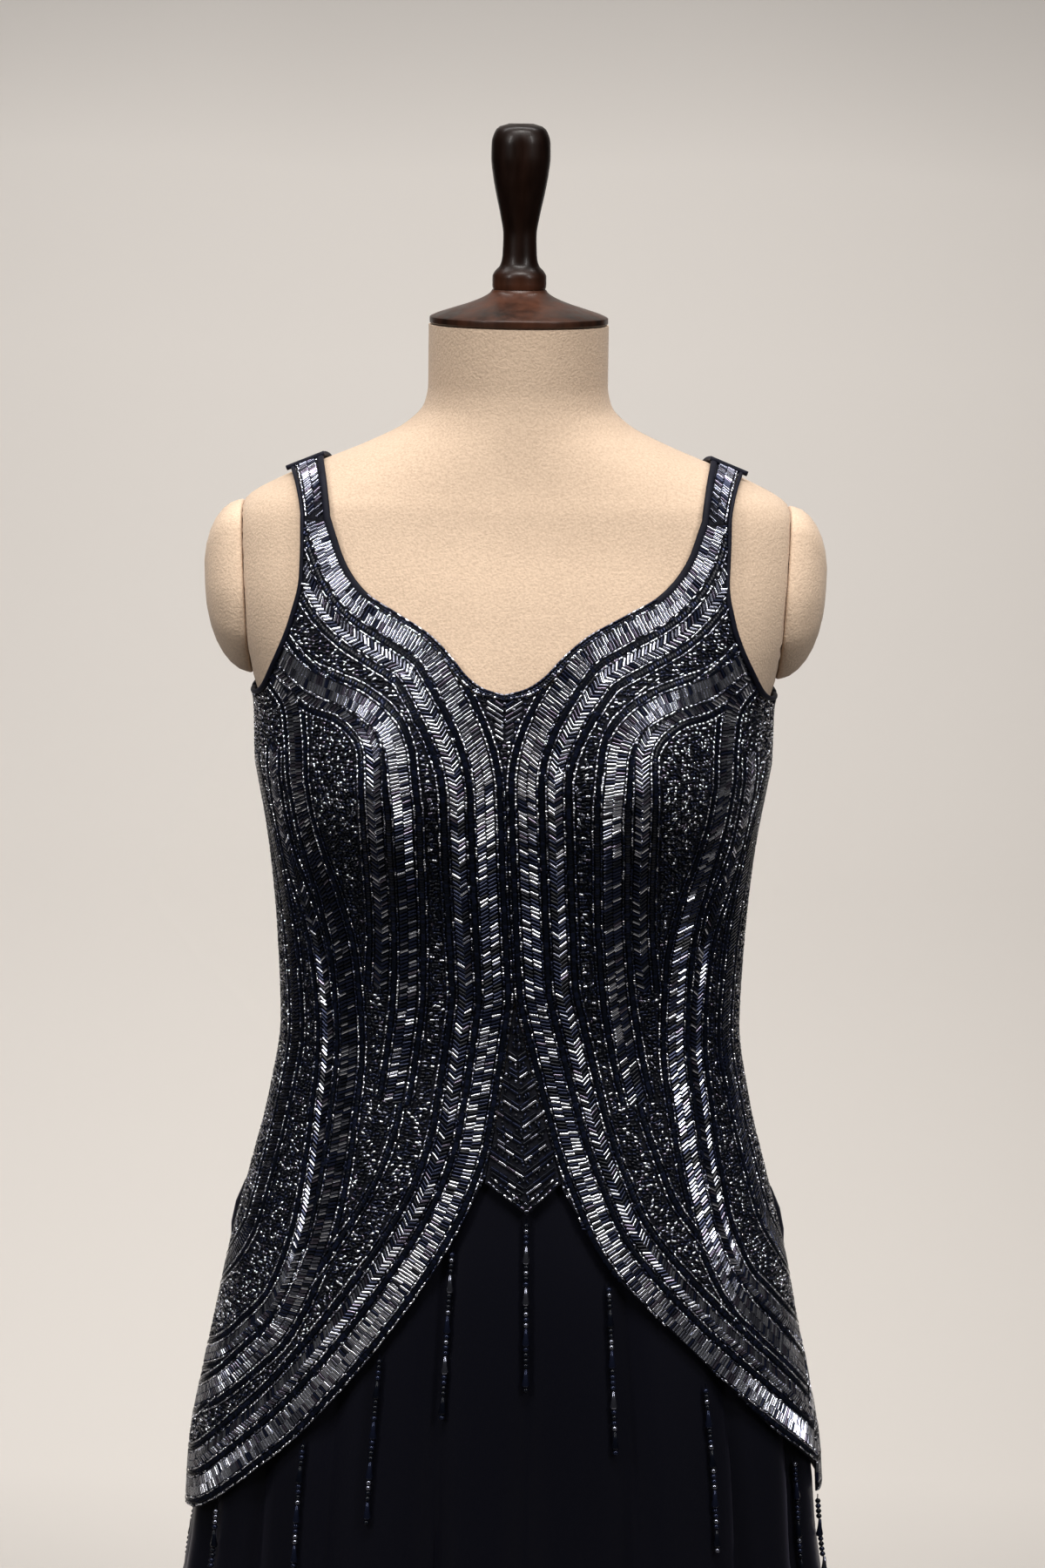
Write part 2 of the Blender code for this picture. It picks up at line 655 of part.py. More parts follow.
def bodice_front_half(side, columns=PANEL_COLUMNS):
    """Grid of one half of the front, from the hem up to the foot of the strap."""
    grid = []
    corner = side_edge(0.72, side, True)
    for step in range(LOWER_STEPS + 1):
        rise = step / LOWER_STEPS
        row = []
        for column in range(columns + 1):
            along = column / columns
            hem_share = INSET_SHARE + (corner - INSET_SHARE) * along
            height = hem_front(side * hem_share) * (1 - rise) + INSET_TOP * rise
            inner = inset_edge(height) + share_gap(height, 2 * SEAM_GAP) if rise < 1 else 0.0
            outer = side_edge(height, side, True) - share_gap(height)
            share = side * (inner + (outer - inner) * along)
            row.append(cloth(gown_section, drifted(share, height), height))
        grid.append(row)
    for height in FLAT_HEIGHTS:
        outer = 1.0 - share_gap(height)
        shares = [side * outer * column / columns for column in range(columns + 1)]
        grid.append([cloth(gown_section, drifted(share, height), height) for share in shares])
    grid.append(last_full_row(side, 0.0, 1.0, columns))
    grid += upper_rows(side, True, columns)
    if side < 0:
        grid = [row[::-1] for row in grid]
    return grid


def bodice_front():
    grids = [bodice_front_half(-1), bodice_front_half(1)]
    return sheet_from_grids("bodice_front", grids, NAVY_BEADS, BEADED_WALL)


def front_inset():
    """Pointed piece between the two sweeps of the hem."""
    grid = []
    heights = (INSET_TOP - 0.014, 1.060, 1.045, 1.030, 1.015, 1.000, 0.985, INSET_NOTCH)
    for height in heights:
        edge = inset_edge(height) - share_gap(height, 2 * SEAM_GAP)
        row = [cloth(gown_section, drifted(edge * k, height), height) for k in (-1, -0.5, 0, 0.5, 1)]
        grid.append(row)
    point_row = []
    for k in (-1, -0.5, 0, 0.5, 1):
        height = INSET_NOTCH - 0.0005 - (INSET_NOTCH - INSET_POINT) * (1 - abs(k))
        edge = inset_edge(INSET_NOTCH) - share_gap(height, 2 * SEAM_GAP)
        point_row.append(cloth(gown_section, drifted(edge * k * 0.96, height), height))
    grid.append(point_row)
    grid.reverse()
    return sheet_from_grids("front_inset", [grid], NAVY_BEADS, BEADED_WALL)


def hem_back(share):
    return float(smooth(BACK_HEM, 1, abs(share)))


def centre_back_gap(height):
    """Share kept free at each side of the centre back, for the zip or the seam."""
    zipped = height > ZIP_FOOT - 0.004
    return share_gap(height, ZIP_TAPE_WIDTH + 2 * SEAM_GAP if zipped else SEAM_GAP, False)


def bodice_back(name, side, columns=PANEL_COLUMNS):
    grid = []
    for step in range(LOWER_STEPS + 1):
        rise = step / LOWER_STEPS
        row = []
        for column in range(columns + 1):
            along = column / columns
            start = side_edge(0.74, side, False)
            hem_share = start + (2.0 - start) * along
            height = hem_back(hem_share) * (1 - rise) + INSET_TOP * rise
            first = side_edge(height, side, False) + share_gap(height)
            last = 2.0 - centre_back_gap(height)
            share = side * (first + (last - first) * along)
            row.append(cloth(gown_section, drifted(share, height), height))
        grid.append(row)
    for height in FLAT_HEIGHTS:
        first, last = 1.0 + share_gap(height), 2.0 - centre_back_gap(height)
        shares = [side * (first + (last - first) * c / columns) for c in range(columns + 1)]
        grid.append([cloth(gown_section, share, height) for share in shares])
    grid.append(last_full_row(side, 2.0, 1.0, columns)[::-1])
    grid += [row[::-1] for row in upper_rows(side, False, columns)]
    if side < 0:
        grid = [row[::-1] for row in grid]
    return sheet_from_grids(name, [grid], NAVY_BEADS, BEADED_WALL)


# ---------------------------------------------------------------- edges over the shoulder
def strap_edge(width, outward, neck, rows):
    """One edge of the strap over the shoulder, as rows of (x, angle) from front to back."""
    front = NECKLINE_FRONT if neck else ARMHOLE_FRONT
    back = NECKLINE_BACK if neck else ARMHOLE_BACK
    top_x = NECKLINE_SHOULDER_X if neck else ARMHOLE_SHOULDER_X
    shift = 0.9 * outward * width
    foot = STRAP_FOOT - 0.8 * width + SEAM_GAP
    front_x, back_x = front[-1][1] + shift, back[-1][1] + shift
    start = shoulder_angle(gown_section, front_x, foot, True)
    end = shoulder_angle(gown_section, back_x, foot, False)
    table = ((start, front_x), (0.0, top_x + shift), (end, back_x))
    return [(float(smooth(table, 1, angle)), angle) for angle in np.linspace(start, end, rows)]


def strap(name, side):
    """Beaded strip over one shoulder, between the neckline and the armhole bindings."""
    inner = strap_edge(NECK_BINDING_WIDTH + SEAM_GAP, 1, True, STRAP_STEPS)
    outer = strap_edge(ARM_BINDING_WIDTH + SEAM_GAP, -1, False, STRAP_STEPS)
    grid = []
    for (x_in, angle_in), (x_out, angle_out) in zip(inner, outer):
        row = []
        for k in (0.0, 0.5, 1.0):
            spot = over_cloth(gown_section, x_in + (x_out - x_in) * k, angle_in + (angle_out - angle_in) * k)
            row.append(mirrored(spot, side))
        grid.append(row if side > 0 else row[::-1])
    return sheet_from_grids(name, [grid], NAVY_BEADS, BEADED_WALL)


def edge_line(width, outward, neck, side):
    """A whole edge on one side of the body, from the front, over the shoulder, to the back."""
    line = []
    for front in (True, False):
        table = ((NECKLINE_FRONT if front else NECKLINE_BACK) if neck
                 else (ARMHOLE_FRONT if front else ARMHOLE_BACK))
        places = edge_walk(table, front, width, outward, EDGE_STEPS)
        part_line = []
        for share, height in places:
            share = side * share
            if neck and not front:
                keep = 2.0 - centre_back_gap(height)
                share = max(-keep, min(keep, share))
            part_line.append(cloth(gown_section, drifted(share, height), height))
        if front:
            line = part_line
            over = strap_edge(width, outward, neck, STRAP_STEPS)[1:-1]
            line += [mirrored(over_cloth(gown_section, x, angle), side) for x, angle in over]
        else:
            line += part_line[::-1]
    return line


def neckline_binding():
    """One strip from the centre back, over both shoulders, to the centre back again."""
    grid = []
    for width, outward in ((0.0, 1), (NECK_BINDING_WIDTH, 1)):
        right = edge_line(width, outward, True, 1)
        left = edge_line(width, outward, True, -1)
        grid.append(left[:0:-1] + right)
    return sheet_from_grids("neckline_binding", [grid[::-1]], NAVY_BINDING, BINDING_WALL)


def armhole_binding(name, side):
    """A closed loop round one armhole."""
    grid = []
    for width in (0.0, ARM_BINDING_WIDTH):
        line = edge_line(width, -1, False, side)
        grid.append(line[:-1] + [line[0]])
    if side < 0:
        grid.reverse()
    return sheet_from_grids(name, [grid], NAVY_BINDING, BINDING_WALL)


# ---------------------------------------------------------------- zip
def zip_tape():
    """Two joined tapes down the centre back, just under the face of the cloth."""
    grid = []
    for height in np.linspace(ZIP_FOOT, ZIP_TOP, 16):
        row = []
        for k in (-1, 0, 1):
            share = 2.0 - k * share_gap(height, ZIP_TAPE_WIDTH, False)
            point, normal = cloth(gown_section, share, height)
            row.append((point - ZIP_SINK * normal, normal))
        grid.append(row)
    return sheet_from_grids("zip_tape", [[row[::-1] for row in grid]], NAVY_BINDING, ZIP_TAPE_WALL)


def box(shape, low, high):
    middle = [(a + b) / 2 for a, b in zip(low, high)]
    size = [b - a for a, b in zip(low, high)]
    place = Matrix.Translation(middle) @ Matrix.Diagonal((*size, 1.0))
    bmesh.ops.create_cube(shape, size=1.0, matrix=place)


def union(target, other):
    """Join another object into the target as one body."""
    join = target.modifiers.new("join_" + other.name, "BOOLEAN")
    join.operation = "UNION"
    join.object = other
    other.hide_render = True
    other.display_type = "WIRE"


def cylinder_x(name, radius, length, y, z, look, segments=16):
    """A round bar along X through y and z."""
    mesh = bpy.data.meshes.new(name)
    shape = bmesh.new()
    turn = Matrix.Translation((0, y, z)) @ Matrix.Rotation(math.pi / 2, 4, "Y")
    bmesh.ops.create_cone(shape, cap_ends=True, segments=segments, radius1=radius,
                          radius2=radius, depth=length, matrix=turn)
    shape.to_mesh(mesh)
    shape.free()
    return new_object(name, mesh, look)


def slider_face():
    """Depth of the slider's outer face behind the middle plane."""
    top = on_section(gown_section, 2.0, SLIDER_HEIGHT + SLIDER_LENGTH / 2).y
    low = on_section(gown_section, 2.0, SLIDER_HEIGHT - SLIDER_LENGTH / 2).y
    return max(top, low) + SEAM_GAP + SLIDER_DEPTH


def zip_slider():
    """Slider at the top of its run, with two lugs and the pin that the pull hangs on."""
    face = slider_face()
    mesh = bpy.data.meshes.new("zip_slider")
    shape = bmesh.new()
    half = SLIDER_WIDTH / 2
    box(shape, (-half, face - SLIDER_DEPTH, SLIDER_HEIGHT - SLIDER_LENGTH / 2),
        (half, face, SLIDER_HEIGHT + SLIDER_LENGTH / 2))
    shape.to_mesh(mesh)
    shape.free()
    slider = new_object("zip_slider", mesh, ZIP_METAL)
    lug_height = PIN_LIFT + 2 * PIN_RADIUS
    for side in (-1, 1):
        lug_mesh = bpy.data.meshes.new("lug")
        shape = bmesh.new()
        low = min(side * half, side * (half - LUG_THICKNESS))
        box(shape, (low, face - LUG_SINK, SLIDER_HEIGHT - LUG_HALF_HEIGHT),
            (low + LUG_THICKNESS, face + lug_height, SLIDER_HEIGHT + LUG_HALF_HEIGHT))
        shape.to_mesh(lug_mesh)
        shape.free()
        union(slider, new_object(f"lug_{side}", lug_mesh, ZIP_METAL))
    union(slider, cylinder_x("pin", PIN_RADIUS, SLIDER_WIDTH - LUG_THICKNESS, face + PIN_LIFT,
                             SLIDER_HEIGHT, ZIP_METAL))
    return slider


def zip_pull():
    """Flat pull with a round eye; its origin is on the axis of the slider's pin."""
    thin = PULL_THICKNESS / 2
    start = math.asin(thin / EYE_RADIUS)
    sweep = 2 * math.pi - 2 * start
    turns = [start + sweep * step / EYE_SIDES for step in range(EYE_SIDES + 1)]
    outside = [(EYE_RADIUS * math.sin(turn), -EYE_RADIUS * math.cos(turn)) for turn in turns]
    outside += [(-thin, -PULL_LENGTH), (thin, -PULL_LENGTH)]
    hole = [(EYE_BORE * math.sin(turn), -EYE_BORE * math.cos(turn))
            for turn in (2 * math.pi * step / EYE_SIDES for step in range(EYE_SIDES))]
    shape = bmesh.new()
    rims = []
    for loop in (outside, hole):
        verts = [shape.verts.new((-PULL_WIDTH / 2, y, z)) for y, z in loop]
        rims += [shape.edges.new((verts[i - 1], verts[i])) for i in range(len(verts))]
    filled = bmesh.ops.triangle_fill(shape, edges=rims, use_beauty=True)
    faces = [item for item in filled["geom"] if isinstance(item, bmesh.types.BMFace)]
    pushed = bmesh.ops.extrude_face_region(shape, geom=faces)
    moved = [item for item in pushed["geom"] if isinstance(item, bmesh.types.BMVert)]
    bmesh.ops.translate(shape, verts=moved, vec=(PULL_WIDTH, 0, 0))
    bmesh.ops.recalc_face_normals(shape, faces=shape.faces)
    mesh = bpy.data.meshes.new("zip_pull")
    shape.to_mesh(mesh)
    shape.free()
    pull = new_object("zip_pull", mesh, ZIP_METAL)
    pull.location = (0.0, slider_face() + PIN_LIFT, SLIDER_HEIGHT)
    return pull


# ---------------------------------------------------------------- skirt
def fold_in(share, height):
    """How far the soft folds draw the skirt in at a place."""
    depth = float(smooth(FOLD_SIZES, 1, height))
    width = float(smooth(FOLD_SIZES, 2, height))
    total = 0.0
    for crease, strength in SKIRT_CREASES:
        apart = abs((share - crease + 2.0) % 4.0 - 2.0)
        total = max(total, strength * math.exp(-(apart / width) ** 2))
    return depth * total


def vent_out(share, height):
    """How far the skirt stands out through the vents of the bodice."""
    out = float(smooth(VENT_BULGE, 1, height))
    round_share = abs((share + 2.0) % 4.0 - 2.0)
    return out * math.exp(-((round_share - VENT_BULGE_SHARE) / VENT_BULGE_WIDTH) ** 2)


def skirt_cloth(share, height):
    point, normal = cloth(skirt_section, share, height)
    push = vent_out(share, height) - fold_in(share, height)
    return point + push * Vector((normal.x, normal.y, 0.0)), normal


def skirt_shares(first, last):
    """Columns of a skirt panel: one at each crease and one on each crown between."""
    shares = [first, last]
    ridge = [VENT_BULGE_SHARE + step for step in (-0.04, 0.0, 0.04)]
    vents = ridge + [4.0 - share for share in ridge]
    shares += [share for share in vents if first < share < last]
    turns = [crease + turn for crease, _ in SKIRT_CREASES for turn in (0.0, 4.0)]
    inside = sorted(crease for crease in turns if first < crease < last)
    shares += inside
    for a, b in zip([first] + inside, inside + [last]):
        shares.append((a + b) / 2)
    kept = []
    for share in sorted(shares):
        if first <= share <= last and (not kept or share - kept[-1] > 0.02):
            kept.append(share)
    kept[-1] = last
    return kept


def skirt_panel(name, first, last):
    _, _, walk = quarter_outline(skirt_section, 0.6, True)
    gap = 0.5 * SEAM_GAP / walk[-1] * 1.2
    shares = skirt_shares(first + gap, last - gap)
    grid = [[skirt_cloth(share, height) for share in shares] for height in SKIRT_HEIGHTS]
    return sheet_from_grids(name, [grid], NAVY_SATIN, SKIRT_WALL)


# ---------------------------------------------------------------- strands of beads
def strand(name, share, top):
    """Plain rod of a strand's reach, lying just clear of the skirt."""
    worn = drifted(share, top)
    path = []
    for step in range(5):
        height = top - STRAND_LENGTH * step / 4
        point = on_section(skirt_section, worn, height)
        normal = normal_of(skirt_section, worn, height)
        path.append(point + (STRAND_LIFT + vent_out(worn, height)) * normal)
    curve = bpy.data.curves.new(name, "CURVE")
    curve.dimensions = "3D"
    line = curve.splines.new("POLY")
    line.points.add(len(path) - 1)
    for spot, point in zip(line.points, path):
        spot.co = (*point, 1.0)
    curve.bevel_depth = STRAND_RADIUS
    curve.bevel_resolution = 0
    curve.use_fill_caps = True
    curve.materials.append(material(BEAD_GLASS))
    made = bpy.data.objects.new(name, curve)
    bpy.context.collection.objects.link(made)
    return made


def strands():
    number = 1
    for share in FRONT_STRANDS:
        top = INSET_POINT if share == 0 else hem_front(share)
        strand(f"bead_strand_{number:02d}", share, top - STRAND_DROP)
        number += 1
    for share in BACK_STRANDS:
        strand(f"bead_strand_{number:02d}", share, hem_back(share) - STRAND_DROP)
        number += 1


def main():
    for leftover in list(bpy.data.objects):
        bpy.data.objects.remove(leftover, do_unlink=True)
    form_torso()
    form_arm_cap("form_arm_cap_left", -1)
    form_arm_cap("form_arm_cap_right", 1)
    turned("neck_cap", CAP_PROFILE, NECK_TOP + SEAM_GAP, DARK_WOOD, 30)
    cap_top = NECK_TOP + SEAM_GAP + CAP_PROFILE[-1][0]
    turned("neck_knob", KNOB_PROFILE, cap_top + SEAM_GAP, DARK_WOOD, 20)
    turned("stand_base", BASE_PROFILE, 0.0, DARK_WOOD)
    stand_pole()
    bodice_front()
    front_inset()
    bodice_back("bodice_back_left", -1)
    bodice_back("bodice_back_right", 1)
    strap("strap_left", -1)
    strap("strap_right", 1)
    neckline_binding()
    armhole_binding("armhole_binding_left", -1)
    armhole_binding("armhole_binding_right", 1)
    zip_tape()
    zip_slider()
    zip_pull()
    skirt_panel("skirt_front", -1.0, 1.0)
    skirt_panel("skirt_back", 1.0, 3.0)
    strands()


main()
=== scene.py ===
# %% [markdown]
# # A beaded mermaid gown on a dress form
# The gown has three layers that matter to the eye: dark cloth that gives the shape, thousands of
# glass beads sewn on in curving bands, and a plain satin skirt that hangs in soft folds. The
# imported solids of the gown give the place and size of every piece. This script keeps those
# places and dresses them: cloth as thin shells on the same surface, beads as small meshes laid
# along guide lines, and a form of suede and turned wood underneath.
#
# Metres, +Z up, the front faces -Y. "share" is a place round the body, measured along the cloth:
# 0 at the centre front, 1 and -1 at the sides, 2 and -2 at the centre back.

# %% Load the frame
import bpy
import bmesh
import json
import math
import numpy as np
from mathutils import Matrix, Vector
from mathutils.kdtree import KDTree

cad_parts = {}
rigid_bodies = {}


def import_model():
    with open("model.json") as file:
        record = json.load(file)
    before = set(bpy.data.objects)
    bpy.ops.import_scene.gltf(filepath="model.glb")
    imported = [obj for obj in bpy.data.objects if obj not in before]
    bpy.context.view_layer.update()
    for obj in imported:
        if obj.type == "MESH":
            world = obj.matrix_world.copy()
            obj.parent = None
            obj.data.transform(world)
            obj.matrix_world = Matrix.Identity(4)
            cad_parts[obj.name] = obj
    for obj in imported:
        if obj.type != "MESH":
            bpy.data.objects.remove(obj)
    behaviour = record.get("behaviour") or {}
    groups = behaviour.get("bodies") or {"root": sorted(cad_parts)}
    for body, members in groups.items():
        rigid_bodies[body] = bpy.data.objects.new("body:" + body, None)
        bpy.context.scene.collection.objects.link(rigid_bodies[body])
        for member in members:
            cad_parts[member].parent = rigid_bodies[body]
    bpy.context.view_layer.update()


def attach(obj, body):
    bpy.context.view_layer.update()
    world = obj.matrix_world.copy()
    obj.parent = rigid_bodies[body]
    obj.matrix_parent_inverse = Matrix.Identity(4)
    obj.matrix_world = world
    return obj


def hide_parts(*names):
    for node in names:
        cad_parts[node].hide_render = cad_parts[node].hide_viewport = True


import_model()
dice = np.random.default_rng(11)

# %% [markdown]
# ## The surface that everything lies on
# A fitted gown is a stack of ovals. Each row of a table is one oval: its height, half width,
# depth to the front, depth to the back, and how square the oval is. A curve that never
# overshoots runs through the rows, so the cloth is smooth at every height between them.
# The tables are the ones that the solids were made from, so a piece made here lies on its solid.

# %% Ovals of the form, the bodice and the skirt
FORM_OVALS = (
    (0.760, 0.1780, 0.1150, 0.1120, 2.2), (0.800, 0.1820, 0.1160, 0.1180, 2.2),
    (0.850, 0.1820, 0.1150, 0.1210, 2.2), (0.900, 0.1760, 0.1110, 0.1150, 2.2),
    (0.950, 0.1640, 0.1050, 0.1000, 2.2), (1.000, 0.1510, 0.0990, 0.0850, 2.2),
    (1.055, 0.1450, 0.0950, 0.0780, 2.2), (1.110, 0.1480, 0.1000, 0.0830, 2.2),
    (1.170, 0.1570, 0.1100, 0.0920, 2.3), (1.235, 0.1693, 0.1210, 0.1010, 2.4),
    (1.270, 0.1700, 0.1212, 0.1035, 2.4), (1.300, 0.1775, 0.1165, 0.1045, 2.4),
    (1.325, 0.1870, 0.1095, 0.1030, 2.4), (1.355, 0.1920, 0.1005, 0.1000, 2.4),
    (1.394, 0.1888, 0.0868, 0.0908, 2.4), (1.409, 0.1788, 0.0817, 0.0862, 2.4),
    (1.421, 0.1580, 0.0765, 0.0810, 2.3), (1.433, 0.1300, 0.0720, 0.0760, 2.2),
    (1.445, 0.1010, 0.0680, 0.0710, 2.1), (1.459, 0.0740, 0.0640, 0.0660, 2.0),
    (1.472, 0.0620, 0.0610, 0.0620, 2.0), (1.485, 0.0595, 0.0595, 0.0595, 2.0),
    (1.530, 0.0595, 0.0595, 0.0595, 2.0),
)
GOWN_OVALS = (
    (0.690, 0.2240, 0.1370, 0.1440, 2.2), (0.750, 0.2205, 0.1355, 0.1420, 2.2),
    (0.800, 0.2115, 0.1330, 0.1390, 2.2), (0.850, 0.2010, 0.1300, 0.1350, 2.2),
    (0.900, 0.1905, 0.1260, 0.1280, 2.2), (0.950, 0.1775, 0.1190, 0.1140, 2.2),
    (1.000, 0.1650, 0.1110, 0.0980, 2.2), (1.055, 0.1570, 0.1040, 0.0880, 2.2),
    (1.110, 0.1590, 0.1090, 0.0910, 2.2), (1.170, 0.1640, 0.1175, 0.0985, 2.3),
    (1.235, 0.1743, 0.1260, 0.1060, 2.4),
)
SKIRT_OVALS = (
    (0.020, 0.4470, 0.3570, 0.4020, 2.0), (0.080, 0.4180, 0.3300, 0.3700, 2.0),
    (0.150, 0.3700, 0.2850, 0.3200, 2.0), (0.250, 0.3050, 0.2250, 0.2500, 2.05),
    (0.340, 0.2620, 0.1800, 0.1960, 2.1), (0.420, 0.2400, 0.1560, 0.1660, 2.15),
    (0.500, 0.2330, 0.1460, 0.1550, 2.2), (0.600, 0.2310, 0.1410, 0.1490, 2.2),
    (0.655, 0.2255, 0.1365, 0.1440, 2.2), (0.690, 0.2200, 0.1322, 0.1394, 2.2),
    (0.740, 0.2152, 0.1296, 0.1362, 2.2),
)
SHOULDER_SLOPE = ((1.360, 0.0), (1.415, 1.0), (1.450, 1.0))
FRONT_DRIFT = ((0.950, 0.013), (1.090, 0.003), (1.200, -0.003), (1.300, -0.006), (1.385, 0.0))
BUST_HEIGHT = 1.235
BUST_APEX_X = 0.088
CUP_DEPTH = 0.019
CUP_REACH_X = 0.050
CUP_REACH_Z = 0.055
BEADED_WALL = 0.0030
SKIRT_WALL = 0.0012
FORM_GAP = 0.0020
SHOULDER_LIFT = 0.0032
LAYER_GAP = 0.0036


def read(rows, column, place):
    """Read a column of a table at places in its first column, on a curve with no overshoot."""
    table = np.array(rows, dtype=float)
    x, y = table[:, 0], table[:, column]
    slope = np.diff(y) / np.diff(x)
    tangent = np.zeros(len(x))
    tangent[0], tangent[-1] = slope[0], slope[-1]
    rising = slope[:-1] * slope[1:] > 0
    mean = 2 * slope[:-1] * slope[1:] / np.where(rising, slope[:-1] + slope[1:], 1.0)
    tangent[1:-1] = np.where(rising, mean, 0.0)
    spot = np.clip(place, x[0], x[-1])
    i = np.clip(np.searchsorted(x, spot) - 1, 0, len(x) - 2)
    width = x[i + 1] - x[i]
    t = (spot - x[i]) / width
    return ((2 * t ** 3 - 3 * t ** 2 + 1) * y[i] + (t ** 3 - 2 * t ** 2 + t) * width * tangent[i]
            + (3 * t ** 2 - 2 * t ** 3) * y[i + 1] + (t ** 3 - t ** 2) * width * tangent[i + 1])


def form_oval(height):
    return [float(read(FORM_OVALS, column, height)) for column in (1, 2, 3, 4)]


def gown_oval(height):
    if height < BUST_HEIGHT:
        return [float(read(GOWN_OVALS, column, height)) for column in (1, 2, 3, 4)]
    ease = BEADED_WALL + FORM_GAP
    lift = SHOULDER_LIFT * float(read(SHOULDER_SLOPE, 1, height))
    half, fore, aft, power = form_oval(height - lift)
    return [half + ease, fore + ease, aft + ease, power]


def skirt_oval(height):
    tuck = BEADED_WALL + LAYER_GAP
    if height >= SKIRT_OVALS[-1][0]:
        half, fore, aft, power = gown_oval(height)
        return [half - tuck, fore - tuck, aft - tuck, power]
    return [float(read(SKIRT_OVALS, column, height)) for column in (1, 2, 3, 4)]


# %% [markdown]
# ## Charts
# Working out a point of the gown from its oval is slow when sixty thousand beads ask for one.
# A chart does it once, on a fine net of places, and then answers any number of questions by
# blending between its four nearest knots. It also knows which way the cloth faces and how many
# metres one step of share or height really is, so a bead can be laid at its true size.

# %% A chart of a surface
def quarter(oval, height, front):
    """A quarter of an oval from the centre line to the side: x, depth and walked length."""
    half, fore, aft, power = oval(height)
    angle = np.linspace(0.0, math.pi / 2, 97)
    x = half * np.sin(angle) ** (2 / power)
    depth = (fore if front else aft) * np.cos(angle) ** (2 / power)
    if front:
        across = np.exp(-((x - BUST_APEX_X) / CUP_REACH_X) ** 2)
        swell = CUP_DEPTH * math.exp(-((height - BUST_HEIGHT) / CUP_REACH_Z) ** 2)
        depth = depth + swell * across * np.cos(angle) ** 0.5
    walk = np.concatenate(([0.0], np.cumsum(np.hypot(np.diff(x), np.diff(depth)))))
    return x, depth, walk


def ring(oval, shares, height):
    """Points of an oval at many shares."""
    shares = (np.asarray(shares, dtype=float) + 2.0) % 4.0 - 2.0
    points = np.zeros((len(shares), 3))
    points[:, 2] = height
    for front in (True, False):
        x, depth, walk = quarter(oval, height, front)
        pick = (np.abs(shares) <= 1.0) == front
        place = np.abs(shares[pick]) if front else 2.0 - np.abs(shares[pick])
        points[pick, 0] = np.sign(shares[pick]) * np.interp(place * walk[-1], walk, x)
        depths = np.interp(place * walk[-1], walk, depth)
        points[pick, 1] = -depths if front else depths
    return points


def drifted(shares, height):
    """Shares of the worn gown: its centre front line wanders a little to one side."""
    walk = quarter(gown_oval, height, True)[2][-1]
    shift = float(read(FRONT_DRIFT, 1, height)) / walk
    return shares + shift * np.clip(1.0 - np.abs(shares), 0.0, 1.0)


class Chart:
    """A fine net over a surface, for points, outward directions and true distances."""

    def __init__(self, us, vs, points):
        self.us, self.vs, self.points = us, vs, points
        self.by_u = np.gradient(points, us, axis=1)
        self.by_v = np.gradient(points, vs, axis=0)
        normal = np.cross(self.by_u, self.by_v)
        self.normals = normal / np.linalg.norm(normal, axis=2, keepdims=True)

    def blend(self, net, u, v):
        a = np.clip((u - self.us[0]) / (self.us[1] - self.us[0]), 0, len(self.us) - 1.001)
        b = np.clip((v - self.vs[0]) / (self.vs[1] - self.vs[0]), 0, len(self.vs) - 1.001)
        i, j = a.astype(int), b.astype(int)
        s, t = (a - i)[:, None], (b - j)[:, None]
        return ((net[j, i] * (1 - s) + net[j, i + 1] * s) * (1 - t)
                + (net[j + 1, i] * (1 - s) + net[j + 1, i + 1] * s) * t)

    def at(self, u, v):
        """Points and outward directions at places of the chart."""
        u, v = np.asarray(u, dtype=float), np.asarray(v, dtype=float)
        normal = self.blend(self.normals, u, v)
        return self.blend(self.points, u, v), normal / np.linalg.norm(normal, axis=1, keepdims=True)

    def step(self, u, v, move):
        """Places reached from (u, v) by a short move in metres along the surface."""
        a, b = self.blend(self.by_u, u, v), self.blend(self.by_v, u, v)
        aa, ab, bb = (a * a).sum(1), (a * b).sum(1), (b * b).sum(1)
        am, bm = (a * move).sum(1), (b * move).sum(1)
        whole = aa * bb - ab * ab
        return u + (am * bb - bm * ab) / whole, v + (bm * aa - am * ab) / whole


def chart_of(oval, low, high, worn):
    us = np.linspace(-2.0, 2.0, 801)
    vs = np.linspace(low, high, int(round((high - low) / 0.002)) + 1)
    rows = [ring(oval, drifted(us, v) if worn else us, v) for v in vs]
    return Chart(us, vs, np.array(rows))


gown = chart_of(gown_oval, 0.690, 1.452, True)
WAIST_HEIGHT = 1.055
waist_points, _ = gown.at(gown.us, np.full(len(gown.us), WAIST_HEIGHT))
waist_round = float(np.linalg.norm(np.diff(waist_points, axis=0), axis=1).sum())
print("gown chart:", gown.points.shape, "waist round:", round(waist_round, 3))

# %% [markdown]
# ## Finishes
# A finish is a small graph of nodes. Writing its maths as Python keeps it readable: a Wire holds
# one socket, and adding or multiplying wires adds the Math nodes. Every pattern reads Object
# coordinates, which are metres here, so a grain of 1 mm stays 1 mm on every piece.

# %% A wire and a finish
class Wire:
    """One output socket, usable in Python sums."""

    def __init__(self, finish, socket):
        self.finish, self.socket = finish, socket

    def maths(self, operation, first, second):
        return self.finish.node("Math", {"operation": operation}, {0: first, 1: second})

    def __add__(self, other):
        return self.maths("ADD", self, other)

    def __sub__(self, other):
        return self.maths("SUBTRACT", self, other)

    def __rsub__(self, other):
        return self.maths("SUBTRACT", other, self)

    def __mul__(self, other):
        return self.maths("MULTIPLY", self, other)

    __radd__ = __add__
    __rmul__ = __mul__


